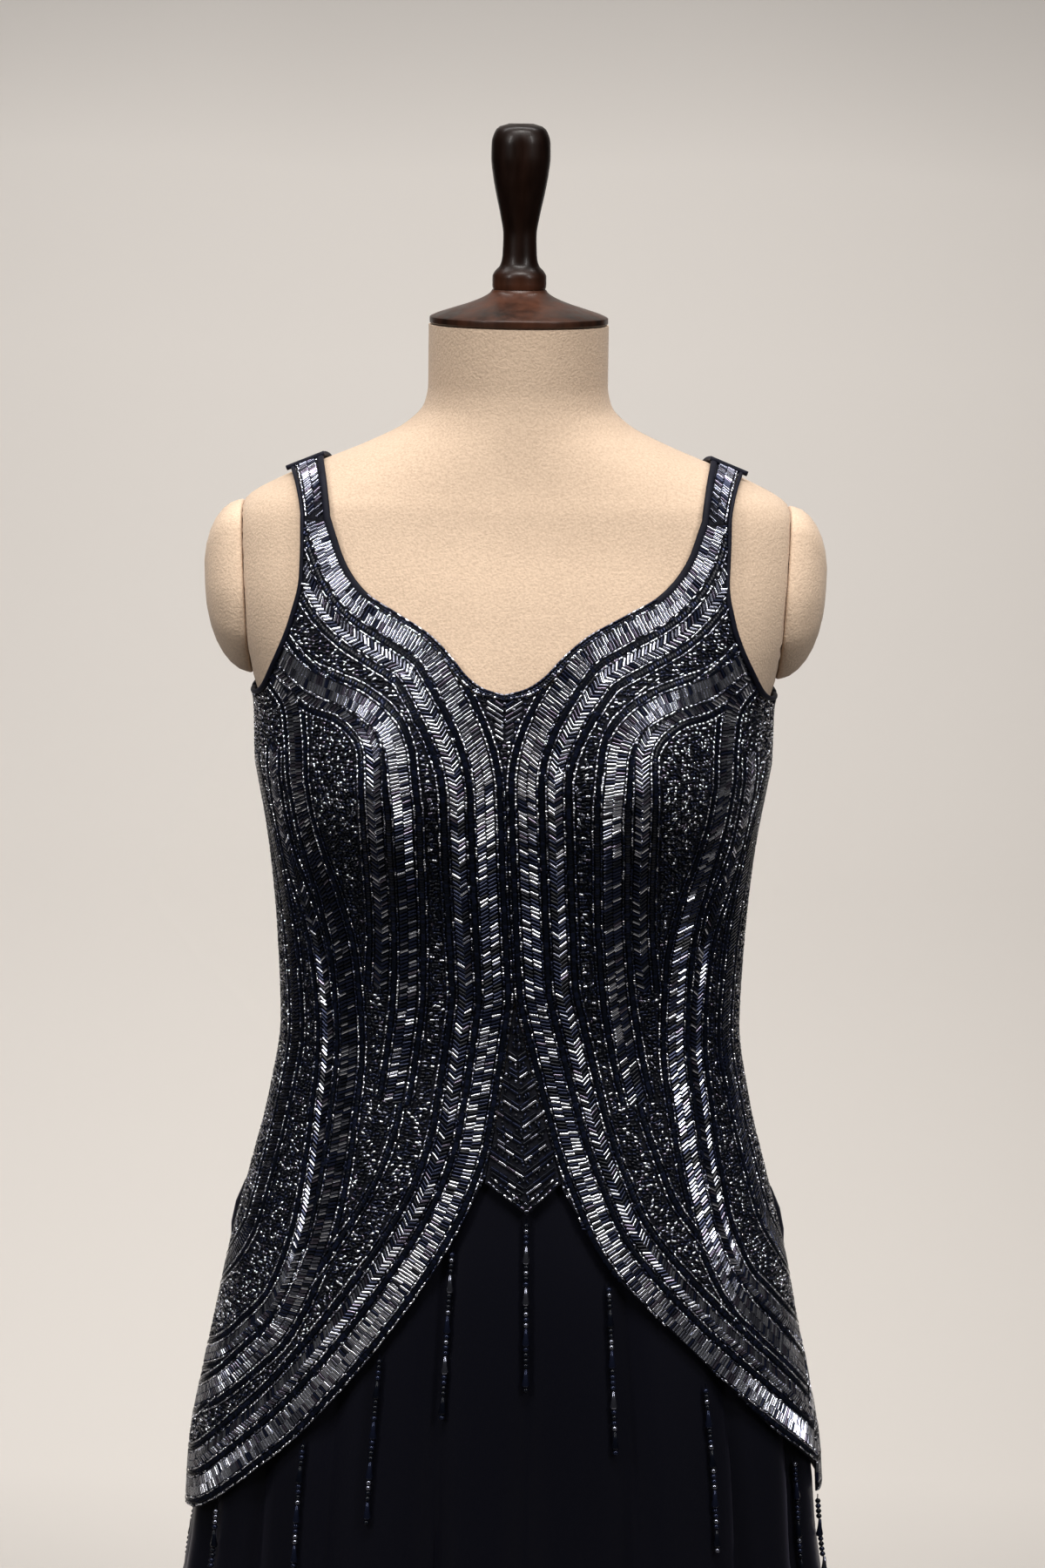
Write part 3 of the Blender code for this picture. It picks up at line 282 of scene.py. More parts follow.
class Finish:
    """A material with a Principled shader and a method that makes any node."""

    def __init__(self, name, **sockets):
        self.material = bpy.data.materials.new(name)
        self.material.use_nodes = True
        self.tree = self.material.node_tree
        self.shader = self.tree.nodes["Principled BSDF"]
        for socket, value in sockets.items():
            self.shader.inputs[socket.replace("_", " ")].default_value = value
        if "Base_Color" in sockets:
            self.material.diffuse_color = sockets["Base_Color"]

    def node(self, kind, settings, inputs, output=0):
        made = self.tree.nodes.new("ShaderNode" + kind)
        for setting, value in settings.items():
            if setting == "stops":
                for stop, (place, colour) in zip(made.color_ramp.elements, value):
                    stop.position, stop.color = place, colour
            else:
                setattr(made, setting, value)
        for socket, value in inputs.items():
            if isinstance(value, Wire):
                self.tree.links.new(value.socket, made.inputs[socket])
            else:
                made.inputs[socket].default_value = value
        return Wire(self, made.outputs[output])

    def place(self, scale=(1.0, 1.0, 1.0)):
        spot = self.node("TexCoord", {}, {}, "Object")
        return self.node("Mapping", {}, {"Vector": spot, "Scale": scale})

    def noise(self, scale, detail=2.0, stretch=(1.0, 1.0, 1.0)):
        return self.node("TexNoise", {}, {"Vector": self.place(stretch), "Scale": scale, "Detail": detail})

    def ramp(self, wire, *stops):
        return self.node("ValToRGB", {"stops": stops}, {"Fac": wire})

    def bump(self, wire, depth, strength=1.0):
        return self.node("Bump", {}, {"Height": wire, "Distance": depth, "Strength": strength}, "Normal")

    def wear(self, **wires):
        for socket, wire in wires.items():
            self.tree.links.new(wire.socket, self.shader.inputs[socket.replace("_", " ")])
        return self.material


def grey(value):
    return (value, value, value, 1.0)


# %% [markdown]
# ### Cover of the form
# The form is covered in a cream cloth with a fine pebbled nap, like suede. Two noises make it:
# a fine one for the pebbles, felt as bump and as faint specks, and a slow one that lets the
# cream drift a little, as an old cover does. Above the chest the cream is painted darker by
# height, most over the shoulders: painted shade, for light that falls off towards the top.

# %% Suede, wood and metal
suede = Finish("form_suede", Roughness=0.92, Sheen_Weight=0.12, Sheen_Roughness=0.5)
suede.shader.inputs["Specular IOR Level"].default_value = 0.2
pebble = suede.noise(620.0, 3.0)
drift = suede.noise(14.0, 2.0)
cover = suede.ramp(pebble * 0.75 + drift * 0.25, (0.32, (0.530, 0.395, 0.288, 1.0)),
                   (0.62, (0.675, 0.512, 0.378, 1.0)))
rise = suede.node("SeparateXYZ", {}, {"Vector": suede.place()}, "Z")
# painted shade: the cream is multiplied darker by height over the shoulders and up the neck
painted_shade_by_height = suede.ramp(rise * 4.0 - 5.28, (0.20, grey(1.0)), (0.40, grey(0.86)), (0.62, grey(0.93)))
form_suede = suede.wear(
    Base_Color=suede.node("Mix", {"data_type": "RGBA", "blend_type": "MULTIPLY"},
                          {0: 1.0, 6: cover, 7: painted_shade_by_height}, 2),
    Normal=suede.bump(pebble, 0.0006, 0.8))

wood = Finish("turned_wood", Coat_Weight=0.05, Coat_Roughness=0.05)
wood.shader.inputs["Specular IOR Level"].default_value = 0.20
grain = wood.noise(26.0, 4.0, (1.0, 1.0, 0.12))
rings = wood.noise(160.0, 2.0, (1.0, 1.0, 0.25))
stain = wood.ramp(
    grain * 0.7 + rings * 0.3, (0.38, (0.012, 0.006, 0.004, 1.0)), (0.66, (0.070, 0.024, 0.012, 1.0)))
lift = wood.node("SeparateXYZ", {}, {"Vector": wood.place()}, "Z")
worn = wood.ramp(lift * 10.0 - 15.0, (0.46, grey(1.0)), (0.62, grey(0.16)))
turned_wood = wood.wear(
    Base_Color=wood.node(
        "Mix", {"data_type": "RGBA", "blend_type": "MULTIPLY"}, {0: 1.0, 6: stain, 7: worn}, 2),
    Roughness=wood.ramp(rings, (0.3, grey(0.30)), (0.7, grey(0.42))))

metal = Finish("zip_metal", Metallic=0.85)
zip_metal = metal.wear(
    Base_Color=metal.ramp(metal.noise(900.0), (0.3, (0.045, 0.050, 0.075, 1.0)),
                          (0.7, (0.085, 0.090, 0.125, 1.0))),
    Roughness=metal.ramp(metal.noise(300.0), (0.3, grey(0.28)), (0.7, grey(0.42))))

# %% [markdown]
# ### Cloth of the gown
# The skirt is a heavy navy satin, nearly black, with the soft broad shine of its floats: a fairly
# rough shader with a little sheen, and a fine weave as bump. The same navy without the shine
# binds the edges. Under the beads lies a matte dark net that only shows between them.

# %% Satin, binding and the ground under the beads
satin = Finish("navy_satin", Roughness=0.40, Sheen_Weight=0.12, Sheen_Roughness=0.35)
satin.shader.inputs["Sheen Tint"].default_value = (0.55, 0.53, 0.75, 1.0)
satin.shader.inputs["Specular IOR Level"].default_value = 0.24
weave = satin.noise(1500.0, 1.0, (1.0, 1.0, 0.35))
tone = satin.noise(6.0, 2.0, (1.0, 1.0, 0.4))
navy_satin = satin.wear(
    Base_Color=satin.ramp(tone, (0.3, (0.0020, 0.0022, 0.0052, 1.0)), (0.7, (0.0032, 0.0034, 0.0074, 1.0))),
    Normal=satin.bump(weave, 0.00012, 0.5))

bias = Finish("navy_binding", Roughness=0.6, Sheen_Weight=0.02, Sheen_Roughness=0.4)
bias.shader.inputs["Specular IOR Level"].default_value = 0.12
bias.shader.inputs["Sheen Tint"].default_value = (0.5, 0.5, 0.8, 1.0)
navy_binding = bias.wear(
    Base_Color=bias.ramp(
        bias.noise(90.0), (0.3, (0.0030, 0.0034, 0.0080, 1.0)), (0.7, (0.0060, 0.0066, 0.0140, 1.0))),
    Normal=bias.bump(bias.noise(1400.0, 1.0), 0.00015, 0.6))

net = Finish("bead_ground", Roughness=0.75)
net.shader.inputs["Specular IOR Level"].default_value = 0.15
bead_ground = net.wear(
    Base_Color=net.ramp(net.noise(420.0, 3.0), (0.35, (0.0020, 0.0024, 0.0045, 1.0)),
                        (0.65, (0.0060, 0.0065, 0.0120, 1.0))),
    Normal=net.bump(net.noise(700.0, 2.0), 0.0005, 0.9))
print("finishes:", len(bpy.data.materials))

# %% [markdown]
# ### Glass of the beads
# Tube beads of lined glass look like gunmetal: dark, with a hard bright line where they catch the
# light. Metal mixed into a glossy shader does that. Beads vary from string to string, so there
# are a few glasses of slightly different tint, and each bead takes one by chance. They are plain
# all over, because a pattern on a bead 2 mm wide would never be seen.

# %% Glasses
def glass(name, colour, metallic, roughness, gloss=0.5):
    made = Finish(name, Base_Color=(*colour, 1.0), Metallic=metallic, Roughness=roughness,
                  Coat_Weight=0.1 * gloss, Coat_Roughness=0.08)
    made.shader.inputs["Specular IOR Level"].default_value = gloss
    return made.material


GLASSES = [
    glass("bead_gunmetal", (0.230, 0.240, 0.300), 0.95, 0.17),
    glass("bead_blue_black", (0.014, 0.018, 0.040), 0.60, 0.12, 0.25),
    glass("bead_night", (0.003, 0.004, 0.008), 0.10, 0.22, 0.20),
    glass("bead_silver_blue", (0.800, 0.820, 0.910), 0.98, 0.17),
    glass("bead_violet_grey", (0.170, 0.150, 0.205), 0.92, 0.15),
]
GUNMETAL, BLUE_BLACK, NIGHT, SILVER, VIOLET = range(5)
print("glasses:", len(GLASSES))

# %% [markdown]
# ## The form
# A dress form's body is a padded shell with cloth stretched over it, cut flat where the arms
# would be. A stack of rings from the ovals gives it, closed at the neck and at the foot, and each
# ring is held back at the flat of the arm. Close rings keep the shoulders round.

# %% Making a mesh from a net of points
ARM_SEAM_X = 0.178
ARM_SEAM_TILT = 0.060
ARM_MIDDLE = 1.350
ARM_CAP_REACH = 0.029
SEAM_GAP = 0.0003
NECK_TOP = 1.5242
FORM_BOTTOM = 0.760


def put(name, mesh, finish, body="gown_on_form", smooth_angle=None):
    """Finish a piece: its material, its smooth shading and the body it rides on."""
    mesh.materials.append(finish)
    made = bpy.data.objects.new(name, mesh)
    bpy.context.collection.objects.link(made)
    mesh.shade_smooth()
    if smooth_angle:
        mesh.set_sharp_from_angle(angle=math.radians(smooth_angle))
    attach(made, body)
    return made


def net_faces(rows, columns, closed=False):
    last = columns if closed else columns - 1
    return [(r * columns + c, r * columns + (c + 1) % columns,
             (r + 1) * columns + (c + 1) % columns, (r + 1) * columns + c)
            for r in range(rows - 1) for c in range(last)]


def mesh_of(name, points, faces):
    mesh = bpy.data.meshes.new(name)
    mesh.from_pydata([tuple(map(float, p)) for p in points], [], faces)
    mesh.update()
    return mesh


def arm_seam_x(height):
    return ARM_SEAM_X + ARM_SEAM_TILT * (height - ARM_MIDDLE)


# %% Torso
TORSO_COLUMNS = 144
torso_heights = np.concatenate((np.linspace(FORM_BOTTOM, 1.40, 66), np.linspace(1.404, NECK_TOP, 38)))
torso_rings = []
for height in torso_heights:
    torso_ring = ring(form_oval, np.arange(TORSO_COLUMNS) * 4 / TORSO_COLUMNS - 2, height)
    limit = arm_seam_x(height)
    torso_ring[:, 0] = np.clip(torso_ring[:, 0], -limit, limit)
    torso_rings.append(torso_ring)
torso_faces = net_faces(len(torso_rings), TORSO_COLUMNS, closed=True)
torso_faces.append(tuple(reversed(range(TORSO_COLUMNS))))
last_ring = (len(torso_rings) - 1) * TORSO_COLUMNS
torso_faces.append(tuple(range(last_ring, last_ring + TORSO_COLUMNS)))
torso = put("form_body", mesh_of("form_body", np.concatenate(torso_rings), torso_faces),
            form_suede, smooth_angle=40)
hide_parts("form_torso")
print("form body:", len(torso.data.polygons), "faces")

# %% [markdown]
# Each arm ends in a short rounded stub. Its outline is found from the middle of the flat by
# walking out until the body ends; the same outline, drawn in and pushed out ring by ring, makes
# the dome. The first two rings turn the edge over a little, which leaves the fine dark seam that
# runs down between body and stub.

# %% Arm stubs
def depth_at(oval, x, height, front):
    xs, depth, _ = quarter(oval, height, front)
    return float(np.interp(abs(x), xs, depth, right=0.0))


def arm_outline(count):
    outline = []
    for turn in np.arange(count) * 2 * math.pi / count:
        low, high = 0.0, 0.120
        for _ in range(20):
            reach = (low + high) / 2
            y, z = -reach * math.sin(turn), ARM_MIDDLE + reach * math.cos(turn)
            inside = abs(y) < depth_at(form_oval, arm_seam_x(z), z, y < 0)
            low, high = (reach, high) if inside else (low, reach)
        outline.append((-low * math.sin(turn), low * math.cos(turn)))
    return outline


STUB_STEPS = 72
STUB_RINGS = ((0.0, 0.955), (0.012, 0.985), (0.05, 0.997), (0.16, 0.985), (0.32, 0.955), (0.50, 0.885),
              (0.66, 0.785), (0.80, 0.650), (0.90, 0.500), (0.965, 0.330), (0.992, 0.160))
stub_outline = arm_outline(STUB_STEPS)
for side, node in ((-1, "form_arm_cap_left"), (1, "form_arm_cap_right")):
    stub_points = []
    for rise, spread in STUB_RINGS:
        for y, z in stub_outline:
            height = ARM_MIDDLE + z * spread
            out = arm_seam_x(height) + SEAM_GAP + ARM_CAP_REACH * rise
            stub_points.append((side * out, y * spread, height))
    stub_points.append((side * (ARM_SEAM_X + SEAM_GAP + ARM_CAP_REACH), 0.0, ARM_MIDDLE))
    pole = len(stub_points) - 1
    edge = (len(STUB_RINGS) - 1) * STUB_STEPS
    stub_faces = net_faces(len(STUB_RINGS), STUB_STEPS, closed=True)
    stub_faces += [(edge + i, edge + (i + 1) % STUB_STEPS, pole) for i in range(STUB_STEPS)]
    stub_faces.append(tuple(reversed(range(STUB_STEPS))))
    if side < 0:
        stub_faces = [face[::-1] for face in stub_faces]
    stub = put(node.replace("form_arm_cap", "arm_stub"), mesh_of(node, stub_points, stub_faces),
               form_suede)
    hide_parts(node)
print("arm stubs:", 2)

# %% [markdown]
# ## Turned wood
# The cap of the neck, its knob and the foot of the stand are turned on a lathe. In Blender the
# same thing is a spin: half of the outline is drawn once and swept round the axis in edit mode.

# %% Spin a profile
CAP_PROFILE = (
    (0.0000, 0.0575), (0.0015, 0.0590), (0.0045, 0.0590), (0.0068, 0.0550),
    (0.0100, 0.0455), (0.0140, 0.0330), (0.0180, 0.0235), (0.0210, 0.0190), (0.0228, 0.0178),
)
KNOB_PROFILE = (
    (0.0000, 0.0172), (0.0020, 0.0178), (0.0085, 0.0178), (0.0120, 0.0160), (0.0155, 0.0128),
    (0.0220, 0.0114), (0.0350, 0.0110), (0.0480, 0.0130), (0.0610, 0.0158), (0.0740, 0.0182),
    (0.0860, 0.0195), (0.0950, 0.0193), (0.1030, 0.0168), (0.1062, 0.0130), (0.1075, 0.0080),
)
FOOT_PROFILE = ((0.0000, 0.1640), (0.0030, 0.1700), (0.0090, 0.1700), (0.0150, 0.1500), (0.0200, 0.0600))


def turned(name, node, profile, seat, rows, steps):
    heights = np.linspace(0.0, profile[-1][0], rows)
    outline = [(0.0, 0.0)] + [(float(read(profile, 1, h)), float(h)) for h in heights]
    outline.append((0.0, profile[-1][0]))
    mesh = mesh_of(name, [(radius, 0.0, seat + height) for radius, height in outline], [])
    mesh.edges.add(len(outline) - 1)
    mesh.edges.foreach_set("vertices", [v for i in range(len(outline) - 1) for v in (i, i + 1)])
    piece = put(name, mesh, turned_wood, smooth_angle=35)
    bpy.ops.object.select_all(action="DESELECT")
    piece.select_set(True)
    bpy.context.view_layer.objects.active = piece
    bpy.ops.object.mode_set(mode="EDIT")
    bpy.ops.mesh.select_all(action="SELECT")
    bpy.ops.mesh.spin(steps=steps, angle=2 * math.pi, center=(0, 0, 0), axis=(0, 0, 1))
    bpy.ops.mesh.select_all(action="SELECT")
    bpy.ops.mesh.remove_doubles(threshold=1e-5)
    bpy.ops.mesh.normals_make_consistent(inside=False)
    bpy.ops.object.mode_set(mode="OBJECT")
    piece.data.shade_smooth()
    piece.data.set_sharp_from_angle(angle=math.radians(35))
    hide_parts(node)
    return piece


cap_seat = NECK_TOP + SEAM_GAP
knob_seat = cap_seat + CAP_PROFILE[-1][0] + SEAM_GAP
neck_cap = turned("turned_cap", "neck_cap", CAP_PROFILE, cap_seat, 34, 96)
knob = turned("turned_knob", "neck_knob", KNOB_PROFILE, knob_seat, 60, 64)
foot = turned("turned_foot", "stand_base", FOOT_PROFILE, 0.0, 20, 96)
print("turned pieces:", [len(piece.data.polygons) for piece in (neck_cap, knob, foot)])

# %% [markdown]
# The pole is a plain rod: a cylinder with its two rims bevelled.

# %% Pole
FOOT_TOP = 0.0200
POLE_RADIUS = 0.016
pole_length = FORM_BOTTOM - FOOT_TOP - 2 * SEAM_GAP
bpy.ops.object.select_all(action="DESELECT")
bpy.ops.mesh.primitive_cylinder_add(vertices=48, radius=POLE_RADIUS, depth=pole_length,
                                    location=(0, 0, FOOT_TOP + SEAM_GAP + pole_length / 2))
pole_rod = bpy.context.object
pole_rod.name = "pole_rod"
bpy.ops.object.transform_apply(location=True)
rim = pole_rod.modifiers.new("rim", "BEVEL")
rim.width, rim.segments, rim.limit_method = 0.001, 2, "ANGLE"
bpy.ops.object.modifier_apply(modifier="rim")
pole_rod.data.shade_smooth()
pole_rod.data.set_sharp_from_angle(angle=math.radians(35))
pole_rod.data.materials.append(turned_wood)
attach(pole_rod, "gown_on_form")
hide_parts("stand_pole")
print("pole:", round(pole_length, 3), "m")

# %% [markdown]
# ## Panels of the bodice
# Each panel is cut to its own outline: the hem, the side edge that parts from its neighbour over
# the hip, the armhole, the neckline and the seam of the pointed inset. A panel is a net of places
# (share, height) that runs from one outline to the other, so its edges are true edges and not
# teeth. The shell lies a bead's depth below the face of the solid.

# %% Outlines of the cut
INSET_TOP = 1.090
INSET_NOTCH = 0.970
INSET_POINT = 0.950
INSET_SHARE = 0.110
ZIP_FOOT = 0.990
ZIP_TOP = 1.2830
ZIP_TAPE_WIDTH = 0.0060
NECK_BINDING_WIDTH = 0.0045
ARM_BINDING_WIDTH = 0.0030
STRAP_FOOT = 1.405
FRONT_HEM = (
    (0.110, 0.9750, 0.9660), (0.200, 0.9250, 0.9200), (0.385, 0.8440, 0.8620),
    (0.580, 0.7745, 0.8120), (0.840, 0.7160, 0.7560), (1.000, 0.7030, 0.7300),
)
BACK_HEM = ((0.80, 0.7300), (1.00, 0.7250), (1.30, 0.7300), (1.60, 0.7560), (1.85, 0.8000), (2.00, 0.8350))
# height, front edge at -X, back edge at -X, front edge at +X, back edge at +X
SIDE_EDGES = (
    (0.690, 1.000, 1.002, 0.880, 0.884), (0.770, 1.000, 1.002, 0.885, 0.889),
    (0.790, 1.000, 1.006, 0.890, 0.895), (0.820, 1.000, 1.060, 0.930, 1.010),
    (0.838, 1.000, 1.105, 0.955, 1.085), (0.865, 1.000, 1.155, 0.990, 1.150),
    (0.930, 1.000, 1.165, 1.000, 1.165), (0.960, 1.000, 1.090, 1.000, 1.090),
    (0.990, 1.000, 1.000, 1.000, 1.000), (1.300, 1.000, 1.000, 1.000, 1.000),
)
# Finished edges of the upper bodice: height, x
NECK_FRONT = ((1.2965, 0.0000), (1.3000, 0.0125), (1.3080, 0.0245), (1.3190, 0.0345), (1.3330, 0.0500),
              (1.3460, 0.0730), (1.3587, 0.0950), (1.3770, 0.1100), (1.4050, 0.1208))
NECK_BACK = ((1.2900, 0.0000), (1.2960, 0.0280), (1.3200, 0.0600), (1.3550, 0.0930),
             (1.3800, 0.1100), (1.4050, 0.1195))
ARM_FRONT = ((1.2800, 0.1790), (1.2880, 0.1685), (1.3060, 0.1588), (1.3385, 0.1455),
             (1.3670, 0.1400), (1.4050, 0.1405))
ARM_BACK = ((1.2800, 0.1790), (1.2900, 0.1680), (1.3100, 0.1580), (1.3400, 0.1480),
            (1.3700, 0.1430), (1.4050, 0.1430))


def hem_front(share):
    return read(FRONT_HEM, 1 if share < 0 else 2, abs(share))


def hem_back(share):
    return read(BACK_HEM, 1, abs(share))


def side_edge(height, side, front):
    column = {(-1, True): 1, (-1, False): 2, (1, True): 3, (1, False): 4}[(side, front)]
    return read(SIDE_EDGES, column, height)


def inset_edge(height):
    return INSET_SHARE * np.clip((INSET_TOP - height) / (INSET_TOP - INSET_NOTCH), 0.0, 1.0)


def in_shares(width, height, front=True):
    """Half of a width in metres, as a share at that height."""
    return 0.5 * width / quarter(gown_oval, height, front)[2][-1]


def back_gap(height):
    zipped = height > ZIP_FOOT - 0.004
    return in_shares(ZIP_TAPE_WIDTH + 2 * SEAM_GAP if zipped else SEAM_GAP, height, False)


def edge_walk(rows, front, width, outward, count):
    """Even places along an edge of the upper bodice, width in from its finished edge."""
    table = [(i, z - 0.8 * width, x + (0.9 * outward * width if i else 0.0))
             for i, (z, x) in enumerate(rows)]
    spots = np.linspace(0.0, len(rows) - 1.0, 90)
    heights = read(table, 1, spots)
    shares = []
    for x, height in zip(read(table, 2, spots), heights):
        xs, _, walk = quarter(gown_oval, height, front)
        share = float(np.interp(abs(x), xs, walk)) / walk[-1]
        shares.append(share if front else 2.0 - share)
    points = np.array([ring(gown_oval, [share], height)[0] for share, height in zip(shares, heights)])
    walked = np.concatenate(([0.0], np.cumsum(np.linalg.norm(np.diff(points, axis=0), axis=1))))
    steps = np.linspace(0.0, walked[-1], count)
    return np.interp(steps, walked, shares), np.interp(steps, walked, heights)


# %% Nets of the front and the back
COLUMNS = 28
LOWER_ROWS = 44
MIDDLE_HEIGHTS = np.linspace(INSET_TOP + 0.007, 1.247, 20)
EDGE_ROWS = 34
UNDERARM_MIDDLE, UNDERARM_SIDE = 1.2720, 1.2640
along = np.linspace(0.0, 1.0, COLUMNS + 1)


def upper_net(front):
    neck, arm = (NECK_FRONT, ARM_FRONT) if front else (NECK_BACK, ARM_BACK)
    first, low = edge_walk(neck, front, NECK_BINDING_WIDTH + SEAM_GAP, 1, EDGE_ROWS)
    last, high = edge_walk(arm, front, ARM_BINDING_WIDTH + SEAM_GAP, -1, EDGE_ROWS)
    rows = []
    for a, z_a, b, z_b in zip(first, low, last, high):
        if front:
            b = min(b, 1.0 - in_shares(SEAM_GAP, z_b))
        else:
            a, b = min(a, 2.0 - back_gap(z_a)), max(b, 1.0 + in_shares(SEAM_GAP, z_b))
        rows.append((a + (b - a) * along, z_a + (z_b - z_a) * along))
    return rows


def panel_net(side, front):
    """Rows of (share, height) from the hem up to the foot of the strap, on one side."""
    rows = []
    corner = float(side_edge(0.72, side, True)) if front else float(side_edge(0.74, side, False))
    centre = INSET_SHARE if front else 2.0
    for rise in np.linspace(0.0, 1.0, LOWER_ROWS):
        shares = []
        hem_shares = centre + (corner - centre) * along
        hem = (
            read(FRONT_HEM, 1 if side < 0 else 2, hem_shares) if front else hem_back(hem_shares))
        heights = hem * (1 - rise) + INSET_TOP * rise
        for k, height in zip(along, heights):
            gap = in_shares(SEAM_GAP, height, front)
            if front:
                a = float(inset_edge(height)) + (2 * gap if rise < 1 else 0.0)
                b = float(side_edge(height, side, True)) - gap
            else:
                a, b = 2.0 - back_gap(height), float(side_edge(height, side, False)) + gap
            shares.append(a + (b - a) * k)
        rows.append((np.array(shares), heights))
    for height in MIDDLE_HEIGHTS:
        gap = in_shares(SEAM_GAP, height, front)
        a, b = (0.0, 1.0 - gap) if front else (2.0 - back_gap(height), 1.0 + gap)
        rows.append((a + (b - a) * along, np.full(COLUMNS + 1, height)))
    heights = UNDERARM_MIDDLE + (UNDERARM_SIDE - UNDERARM_MIDDLE) * along
    gap = in_shares(SEAM_GAP, UNDERARM_SIDE, front)
    a, b = (0.0, 1.0 - gap) if front else (2.0 - back_gap(UNDERARM_MIDDLE), 1.0 + gap)
    rows.append((a + (b - a) * along, heights))
    rows += upper_net(front)
    return side * np.array([shares for shares, _ in rows]), np.array([heights for _, heights in rows])


nets = {(side, front): panel_net(side, front) for side in (-1, 1) for front in (True, False)}
print("panel nets:", {key: net[0].shape for key, net in nets.items()})

# %% [markdown]
# A shell is the net laid on the surface twice, once for each face of the cloth, with a rim
# between the two. The inner face keeps to the inner face of the solid, and the outer one leaves
# room for the beads. Halves that meet on a fold, as at the centre front, are merged.

# %% Cloth from nets
BEAD_ROOM = 0.0017


def wall_mesh(name, sheets):
    """A closed wall from sheets of (outer points, inner points, flipped), all nets."""
    points, faces = [], []
    for outer, inner, flipped in sheets:
        rows, columns = outer.shape[:2]
        start = len(points)
        count = rows * columns
        points += [*outer.reshape(-1, 3), *inner.reshape(-1, 3)]
        quads = net_faces(rows, columns)
        rim = list(range(columns)) + [r * columns + columns - 1 for r in range(1, rows)]
        rim += [(rows - 1) * columns + c for c in range(columns - 2, -1, -1)]
        rim += [r * columns for r in range(rows - 2, 0, -1)]
        sides = [(b, a, a + count, b + count) for a, b in zip(rim, rim[1:] + rim[:1])]
        made = quads + [tuple(i + count for i in reversed(quad)) for quad in quads] + sides
        faces += [tuple(i + start for i in (face[::-1] if flipped else face)) for face in made]
    mesh = mesh_of(name, points, faces)
    shape = bmesh.new()
    shape.from_mesh(mesh)
    bmesh.ops.remove_doubles(shape, verts=shape.verts, dist=2e-5)
    doubled = [face for face in shape.faces if all(not edge.is_manifold for edge in face.edges)]
    bmesh.ops.delete(shape, geom=doubled, context="FACES")
    shape.to_mesh(mesh)
    shape.free()
    return mesh


def laid(chart, u, v, depth):
    """Points of a net that lies a depth below the face of a chart."""
    points, normals = chart.at(u.ravel(), v.ravel())
    return (points - depth * normals).reshape(*u.shape, 3)


def cut_area(points):
    a, b = points[1:, 1:] - points[:-1, :-1], points[1:, :-1] - points[:-1, 1:]
    return float(np.linalg.norm(np.cross(a, b), axis=2).sum() / 2)


def panel(name, node, halves, flat):
    sheets, area = [], 0.0
    for side, front in halves:
        u, v = nets[(side, front)]
        outer = laid(gown, u, v, BEAD_ROOM)
        sheets.append((outer, laid(gown, u, v, BEADED_WALL), side * (1 if front else -1) < 0))
        area += cut_area(outer)
    made = put(name, wall_mesh(name, sheets), bead_ground, smooth_angle=50)
    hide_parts(node)
    print(name, "flat area", round(area, 4), "of", round(flat[0] * flat[1], 4))


for name, node, edges, flat in (
        ("bodice_front_cloth", "bodice_front", [(-1, True), (1, True)], (0.560, 0.710)),
        ("bodice_back_left_cloth", "bodice_back_left", [(-1, False)], (0.290, 0.690)),
        ("bodice_back_right_cloth", "bodice_back_right", [(1, False)], (0.300, 0.690))):
    panel(name, node, edges, flat)

# %% Pointed inset
INSET_ROWS = 30
inset_heights = np.linspace(INSET_TOP - 0.005, INSET_NOTCH, INSET_ROWS)
across = np.linspace(-1.0, 1.0, 13)
inset_u, inset_v = [], []
for height in inset_heights:
    edge = float(inset_edge(height)) - 2 * in_shares(SEAM_GAP, height)
    inset_u.append(edge * across)
    inset_v.append(np.full(13, height))
point_edge = INSET_SHARE - 2 * in_shares(SEAM_GAP, INSET_NOTCH)
for fall in (0.3, 0.6, 0.85, 1.0):
    inset_u.append(point_edge * across * (1 - 0.04 * fall))
    inset_v.append(INSET_NOTCH - 0.0005 * fall - fall * (INSET_NOTCH - INSET_POINT) * (1 - np.abs(across)))
inset_u, inset_v = np.array(inset_u)[::-1], np.array(inset_v)[::-1]
inset_outer = laid(gown, inset_u, inset_v, BEAD_ROOM)
inset_inner = laid(gown, inset_u, inset_v, BEADED_WALL)
inset_shell = put("front_inset_cloth", wall_mesh("front_inset_cloth", [(inset_outer, inset_inner, False)]),
                  bead_ground, smooth_angle=50)
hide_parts("front_inset")
max(cut_area(inset_outer), 0.0023)
print("inset area:", round(cut_area(inset_outer), 5))

# %% [markdown]
# ## Over the shoulder
# Near the top of the shoulder height stops being a useful place: the cloth lies almost flat. There
# a chart of another kind serves. A ray leaves the chest at an angle from straight up, and where it
# leaves the gown's outline is the point of the cloth: x across, angle from front to back.

# %% Shoulder charts
HEART = 1.330
NECK_SHOULDER_X = 0.1290
ARM_SHOULDER_X = 0.1505
SHOULDER_REACH = 1.05


class ShoulderChart(Chart):
    """Chart of (x, angle); the one for -X mirrors the points of +X."""

    def __init__(self, us, vs, points, side):
        super().__init__(us, vs, points)
        self.side = side

    def at(self, u, v):
        points, normals = super().at(u, v)
        return points * (self.side, 1, 1), normals * (self.side, 1, 1)

    def step(self, u, v, move):
        return super().step(u, v, move * (self.side, 1, 1))


def oval_reach(x, angle):
    low, high = 0.0, 0.160
    for _ in range(18):
        reach = (low + high) / 2
        y, z = reach * math.sin(angle), HEART + reach * math.cos(angle)
        inside = abs(y) < depth_at(gown_oval, x, z, angle < 0)
        low, high = (reach, high) if inside else (low, reach)
    return (x, low * math.sin(angle), HEART + low * math.cos(angle))


